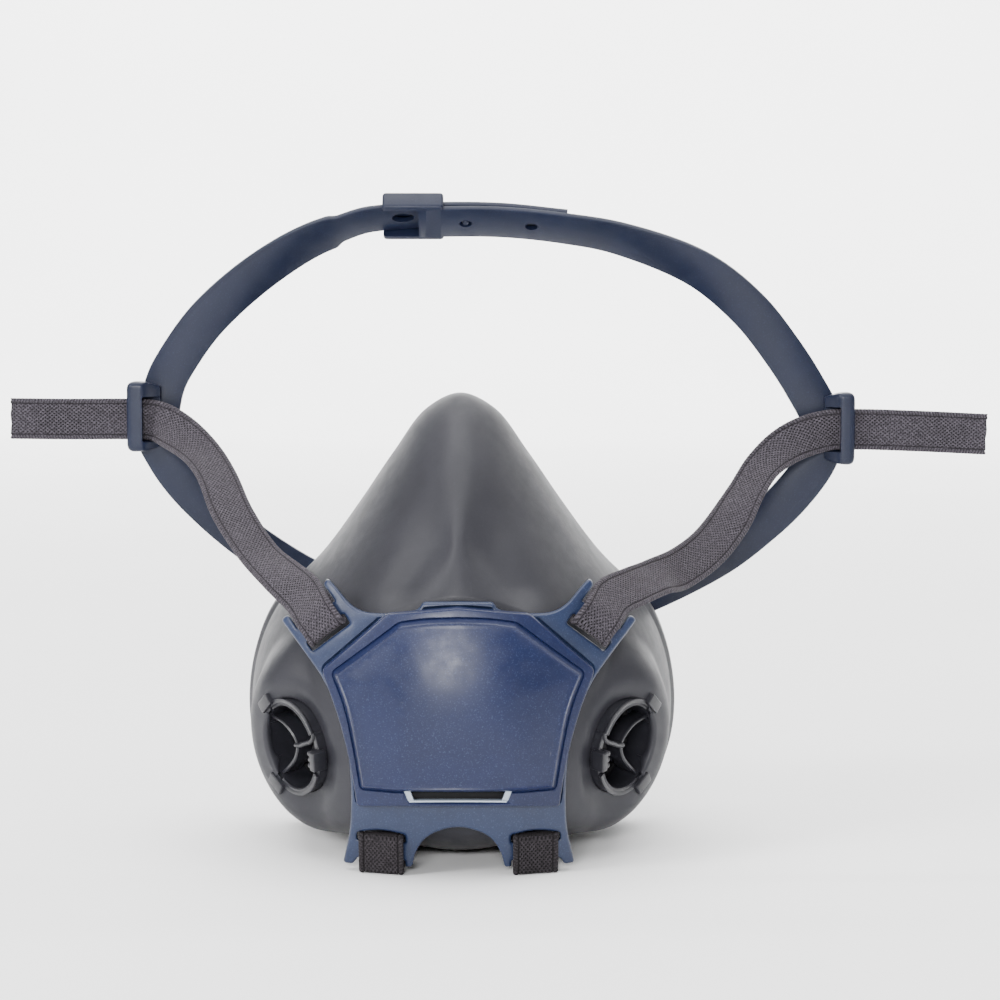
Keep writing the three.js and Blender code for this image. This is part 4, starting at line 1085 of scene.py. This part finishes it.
def clasp_hook():
    x, y = -LOOP_X, CLASP_Y + 10.5
    shells = clasp_shells(x) + [flat_ring(x, y - 2, y + 12, 5.4, None, 2.6, 4.2),
                                rounded_box((10.4, 2, 4.0), (x, y + 10.6, 2.0), 0.4)]
    shells += [rounded_box((8.4, 0.7, 0.5), (x, y + k * 1.8, 4.25), 0.15) for k in range(1, 5)]
    return make("neck_clasp_hook_moulding", shells, sharp=35)


# ---- Head harness ----
# A side frame's side, |x| from and to, the bar's inner edge, z from and to, and the strap's height.
FRAMES = {"left": (-1, 100.3, 107.3, 102.3, 115.9, 138.3, 126.2),
          "right": (1, 119.5, 125.5, 121.0, 111.7, 134.8, 122.9)}
FRAME_Y = (51.3, 59.2)
CHANNEL_Y = (53.6, 57.0)
BACK_STATIONS = [
    ((-99.6, 58.2, 122), (-0.95, 0, -0.3)), ((-97.4, 58.2, 117.5), (-0.85, 0, -0.52)),
    ((-92.3, 58.6, 109), (-0.79, 0, -0.61)), ((-85.2, 60, 100.4), (-0.72, 0, -0.69)),
    ((-69.6, 64, 86), (-0.60, 0, -0.80)), ((-47, 68, 71.5), (-0.45, 0, -0.89)),
    ((-20, 71, 61.5), (-0.24, 0, -0.97)), ((9, 72, 58), (0, 0, -1)), ((38, 71, 60.5), (0.24, 0, -0.97)),
    ((58.1, 68, 67.8), (0.42, 0, -0.91)), ((82.8, 64, 80.9), (0.56, 0, -0.83)),
    ((95.2, 61, 90.8), (0.66, 0, -0.75)), ((104.5, 59.2, 99.8), (0.75, 0, -0.66)),
    ((112.4, 58.2, 110), (0.85, 0, -0.52)), ((116.4, 58.2, 118), (0.95, 0, -0.3)),
]
CROWN_TILT = (0, -0.75, 0.66)
CROWN_OVERLAP = [((12, 58, 189.1), CROWN_TILT), ((33, 58, 187), (0.1, -0.74, 0.66))]
CROWN_LEFT = [
    ((-98.4, 60.55, 122), (-1, 0, 0.05)), ((-97.6, 60.55, 130), (-0.93, 0, 0.36)),
    ((-95.6, 60.4, 138), (-0.86, 0, 0.5)), ((-91.7, 59.8, 145.2), (-0.82, -0.05, 0.56)),
    ((-81.6, 59, 158.7), (-0.66, -0.2, 0.73)), ((-62.6, 58.4, 174.9), (-0.48, -0.45, 0.75)),
    ((-43.8, 58, 185.2), (-0.24, -0.66, 0.7)), ((-27, 58, 188.3), (-0.1, -0.73, 0.67)),
    ((-10, 58, 189.3), CROWN_TILT), *CROWN_OVERLAP,
]
CROWN_RIGHT = [
    ((-14, 58, 189.2), CROWN_TILT), *CROWN_OVERLAP,
    ((50.4, 58, 183.8), (0.2, -0.68, 0.7)), ((75.6, 58.4, 174.2), (0.42, -0.45, 0.78)),
    ((91.8, 59, 161.4), (0.58, -0.2, 0.79)), ((103, 59.8, 147.5), (0.72, -0.05, 0.69)),
    ((110.2, 60.4, 136.5), (0.82, 0, 0.57)), ((115.2, 60.55, 127), (0.93, 0, 0.36)),
    ((117, 60.55, 118), (1, 0, 0.05)),
]
TONGUE_FROM = 0.6
STUD_X = 1.0
SIZE_HOLES = ((STUD_X, 0.0), (22.0, 1.0))   # x, and how far the band has dropped there
KEEPER_T, THROUGH = 1.3, 6


def side_frame(name):
    """The upright bar at the side of the ring, with the channel that an upper strap runs through."""
    side, near, far, bar, z0, z1, strap = FRAMES[name]
    foot, ramp_height = near - 3.2, 5.5
    outline = spaced(rounded([
        (side * far, z0, 2.6), (side * bar, z0, 2), (side * foot, z0 + 1.6, 0.6),
        (side * foot, z1 - 1.6, 0.6), (side * bar, z1, 2), (side * far, z1, 2.6)]), 0.7)
    guides = [inset(outline, d) for d in (0.1, 0.35, 0.75, 1.25, 1.8)]

    def top(p, edge):
        out = np.abs(p[:, 0])
        ramp = ramp_height * (1 - step(foot - 0.4, bar + 0.4, out))
        return FRAME_Y[0] + ramp + round_off(edge, 1.6) * (0.25 + 0.75 * step(bar - 1, bar + 0.5, out))

    shell = plate(outline, [], guides, top, lambda _, e: FRAME_Y[1] - round_off(e, 0.6), 1.0)
    piece = make(f"side_frame_{name}", [shell], sharp=40)
    height, (low, high) = ELASTIC_W + 1.4, CHANNEL_Y
    channel = rounded_box((30, high - low, height), (side * (near + far) / 2, (low + high) / 2, strap), 0.5)
    window = rounded_box((12, high - FRAME_Y[0] + 2, height),
                         (side * (bar - 6), (high + FRAME_Y[0] - 2) / 2, strap), 0.5)
    return cut(piece, [channel, window], sharp=40)


def back_band():
    return make("back_band_moulding", [band(BACK_STATIONS)], sharp=35)


def at_crown(local, drop=0.0):
    """Crown points (x, across the band, along its normal) in the row frame."""
    across = unit(np.array(CROWN_TILT, float))
    axes = np.array([[1, 0, 0], across, np.cross([1, 0, 0], across)])
    return np.asarray(local) @ axes + np.array([0, 58, 189.2 - drop])


def peg(x, radius, low, high, drop=0.0, stretch=1.0):
    """A round or oval peg through the crown band at x."""
    turns = np.linspace(0, 2 * math.pi, 40, endpoint=False)
    rings = [[(x + radius * stretch * math.cos(a), radius * math.sin(a), n) for a in turns]
             for n in (low, high)]
    return moved(loft(rings), lambda p: at_crown(p, drop))


def crown_left():
    """The crown band with the narrow tongue, its stud and an oval hole."""
    def lift(t):
        return TONGUE_LIFT * step(TONGUE_FROM, TONGUE_FROM + 0.09, t)

    def width(t):
        return BAND_W + (TONGUE_W - BAND_W) * step(TONGUE_FROM + 0.01, TONGUE_FROM + 0.03, t)

    piece = make("crown_band_left_moulding", [band(CROWN_LEFT, 0.8, width, lift)], sharp=35)
    cut(piece, [peg(STUD_X, 1.0, TONGUE_LIFT, 0.6)], "UNION", 35)
    return cut(piece, [peg(-19, 1.9, -THROUGH, THROUGH, 0, 1.9)], sharp=35)


def crown_right():
    """The crown band with the keeper and the size holes."""
    piece = make("crown_band_right_moulding", [band(CROWN_RIGHT, 0.8)], sharp=35)
    base, half = BAND_T / 2, TONGUE_W / 2 + 0.7
    top = TONGUE_LIFT - base - 0.6
    keeper = make("keeper", [rounded_box((19.5, 16, base - top + KEEPER_T),
                                         (-15.75, 0, (top - KEEPER_T + base) / 2), 1.1, segments=5)])
    cut(keeper, [rounded_box((30, 2 * half, -base - top), (-15, 0, (top - base) / 2), 0.3),
                 rounded_box((16, 2 * half, 6 - top), (-22, 0, (top + 6) / 2), 0.3)])
    verts = np.array([v.co[:] for v in keeper.data.vertices]) / MM
    faces = [list(p.vertices) for p in keeper.data.polygons]
    bpy.data.objects.remove(keeper)
    cut(piece, [(at_crown(verts), faces)], "UNION", 35)
    holes = [peg(x, 1.5, -THROUGH, THROUGH, drop, 1.35) for x, drop in SIZE_HOLES]
    return cut(piece, holes, sharp=35)


# ---- Valve housing ----
def on_valve(local):
    p = np.asarray(local)
    return np.stack([p[:, 0], SEAT_Y - p[:, 1], VALVE_Z + p[:, 2]], axis=1)


def valve_housing():
    """The insert behind the yoke, with the exhalation valve's seat, hub and three spokes."""
    ring = face_columns()[:, 0]
    flat = np.stack([ring[:, 0], ring[:, 2]], axis=1)[::3]
    outline = inset(flat, WALL + GAP + 0.4)
    front, back = YOKE_T + GAP, YOKE_T + GAP + 2.4
    hole = circle(0, VALVE_Z, SEAT_BORE)
    guides = [inset(outline, d) for d in (0.15, 0.5)]
    sheet = plate(outline, [hole], guides, lambda p, e: dome(*p.T) + front + round_off(e, 0.4),
                  lambda p, e: dome(*p.T) + back - round_off(e, 0.4), 2.0)
    seat = revolve([(SEAT_BORE, -SEAT_DEEP), (SEAT_R - 0.4, -SEAT_DEEP), (SEAT_R, -SEAT_DEEP + 0.4),
                    (SEAT_R, -0.9), (SEAT_R - 0.3, 0), (SEAT_R - 1.2, 0), (SEAT_R - 1.8, -0.5),
                    (SEAT_BORE + 0.4, -0.5), (SEAT_BORE, -0.9)], steps=120)
    low, high = 1 - SEAT_DEEP, -1.6
    hub = revolve([(1.3, low), (2.5, low), (2.8, low + 0.4), (2.8, -1.4), (2.4, -1.0), (1.3, -1.0)],
                  steps=48)
    spokes = [turned_box((2.2, high - low, SEAT_BORE - 1.6), 7.2, (low + high) / 2, turn, 0.4)
              for turn in (90, 210, 330)]
    shells = [sheet] + [moved(shell, on_valve) for shell in (seat, hub, *spokes)]
    return make("valve_housing_moulding", shells, sharp=35)


# ---- Assembly ----
def assemble():
    skin = facepiece()
    lining = make("port_liners", [moved(liner(), on_port(side)) for side in (-1, 1)], sharp=50)
    add(skin, "face_rubber", "mask", "facepiece")
    add(lining, "face_rubber", "mask")
    add(yoke(), "yoke_plastic", "mask", "harness_yoke")
    add(cover(), "cover_plastic", "cover", "exhalation_cover")
    add(outlet_frame(), "housing_plastic", "cover")
    # The near-black plate behind the outlet is painted shade for the dark inside of the cover.
    add(outlet_shade_plate(), "gasket_rubber", "cover")
    add(valve_housing(), "housing_plastic", "mask", "valve_housing")
    for name, side in (("left", -1), ("right", 1)):
        port = make(f"port_{name}_moulding", [moved(s, on_port(side)) for s in port_shells()], sharp=35)
        add(port, "port_plastic", "mask", f"port_housing_{name}")
        strap = dress(upper_strap(name), "elastic")
        start, end = (tuple(c * MM for c in p) for p in BEND[name])
        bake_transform(strap)
        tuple(start)
        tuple(end)
        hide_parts(f"upper_strap_{name}")
        lower = add(neck_strap(name), "elastic", "mask", f"neck_strap_{name}")
        lower.data.materials[0] = DARK_ELASTIC
        add(side_frame(name), "harness_plastic", "head_harness")
    add(clasp_loop(), "port_plastic", "mask", "neck_clasp_loop")
    add(clasp_hook(), "port_plastic", "mask", "neck_clasp_hook")
    add(back_band(), "harness_plastic", "head_harness", "back_band")
    add(crown_left(), "harness_plastic", "head_harness", "crown_band_left")
    add(crown_right(), "harness_plastic", "head_harness", "crown_band_right")


def carry_over():
    """The small inner pieces keep their CAD shape, with softened edges and a real finish."""
    slots = {s["node"]: s["material_slot"] for s in frame["record"]["subparts"]}
    for name, node in frame["nodes"].items():
        if node.hide_render:
            continue
        weld = node.modifiers.new("weld", "WELD")
        weld.merge_threshold = 1e-6
        bevel = node.modifiers.new("soft edges", "BEVEL")
        bevel.width = 0.12 * MM
        bevel.segments = 2
        bevel.limit_method = "ANGLE"
        bevel.angle_limit = math.radians(40)
        node.data.polygons.foreach_set("use_smooth", [True] * len(node.data.polygons))
        dress(node, slots[name])


# ---- Studio ----
CAMERA_AT, CAMERA_TILT = (0.012, -0.790, 0.1741), math.radians(85)
FLOOR_DROP = 0.0001                # metres, so that the mask and the floor don't flicker together


def area_light(name, at, size, power, aim=(0, 0, 0.08)):
    """A soft light. Places and sizes are in metres and power is in watts."""
    data = bpy.data.lights.new(name, "AREA")
    data.shape = "RECTANGLE"
    data.size, data.size_y = size
    data.energy = power
    lamp = bpy.data.objects.new(name, data)
    lamp.location = at
    lamp.rotation_euler = (Vector(aim) - Vector(at)).to_track_quat("-Z", "Y").to_euler()
    bpy.context.scene.collection.objects.link(lamp)


def studio():
    scene = bpy.context.scene
    world = bpy.data.worlds.new("studio")
    world.use_nodes = True
    background = world.node_tree.nodes["Background"]
    background.inputs[0].default_value = (1, 1, 1, 1)
    background.inputs[1].default_value = 0.5
    scene.world = world
    bend, start, half = 1.5, 2.0, 6.0
    sweep = [(y, 0.0) for y in (-half, -3.0, 0.0, start)]
    sweep += [(start + bend * math.sin(a), bend - bend * math.cos(a)) for a in np.radians(range(6, 91, 6))]
    sweep += [(start + bend, half)]
    count = len(sweep)
    mesh = bpy.data.meshes.new("floor")
    mesh.from_pydata([(x, y, z) for x in (-half, half) for y, z in sweep], [],
                     [(k, k + 1, count + k + 1, count + k) for k in range(count - 1)])
    shade(mesh, 60)
    floor = bpy.data.objects.new("floor", mesh)
    floor.location.z = -FLOOR_DROP
    scene.collection.objects.link(floor)
    paper = Finish("white paper", Roughness=0.9, Specular_IOR_Level=0.1)
    grey = paper.remap(paper.noise(400, 2), 0.3, 0.7, 0.0, 1.0)
    paper.set("Base Color", paper.mix(grey, (0.93, 0.93, 0.93), (0.96, 0.96, 0.96)))
    floor.data.materials.append(paper.material)
    area_light("key", (-0.16, -1.6, 0.56), (0.5, 0.2), 25)
    area_light("overhead", (0, -0.1, 1.7), (2.4, 1.6), 60)
    area_light("side", (-1.2, -0.8, 0.8), (0.35, 0.7), 19)
    area_light("edge", (1.0, 0.5, 0.6), (0.3, 0.9), 3)
    area_light("backdrop", (0, 1.9, 2.4), (3.4, 0.6), 300, aim=(0, 3.3, 0.9))

    data = bpy.data.cameras.new("camera")
    data.lens, data.sensor_width, data.clip_start = 95, 36, 0.05
    camera = bpy.data.objects.new("camera", data)
    camera.location = CAMERA_AT
    camera.rotation_euler = (CAMERA_TILT, 0, 0)
    scene.collection.objects.link(camera)
    scene.camera = camera


studio()
assemble()
carry_over()
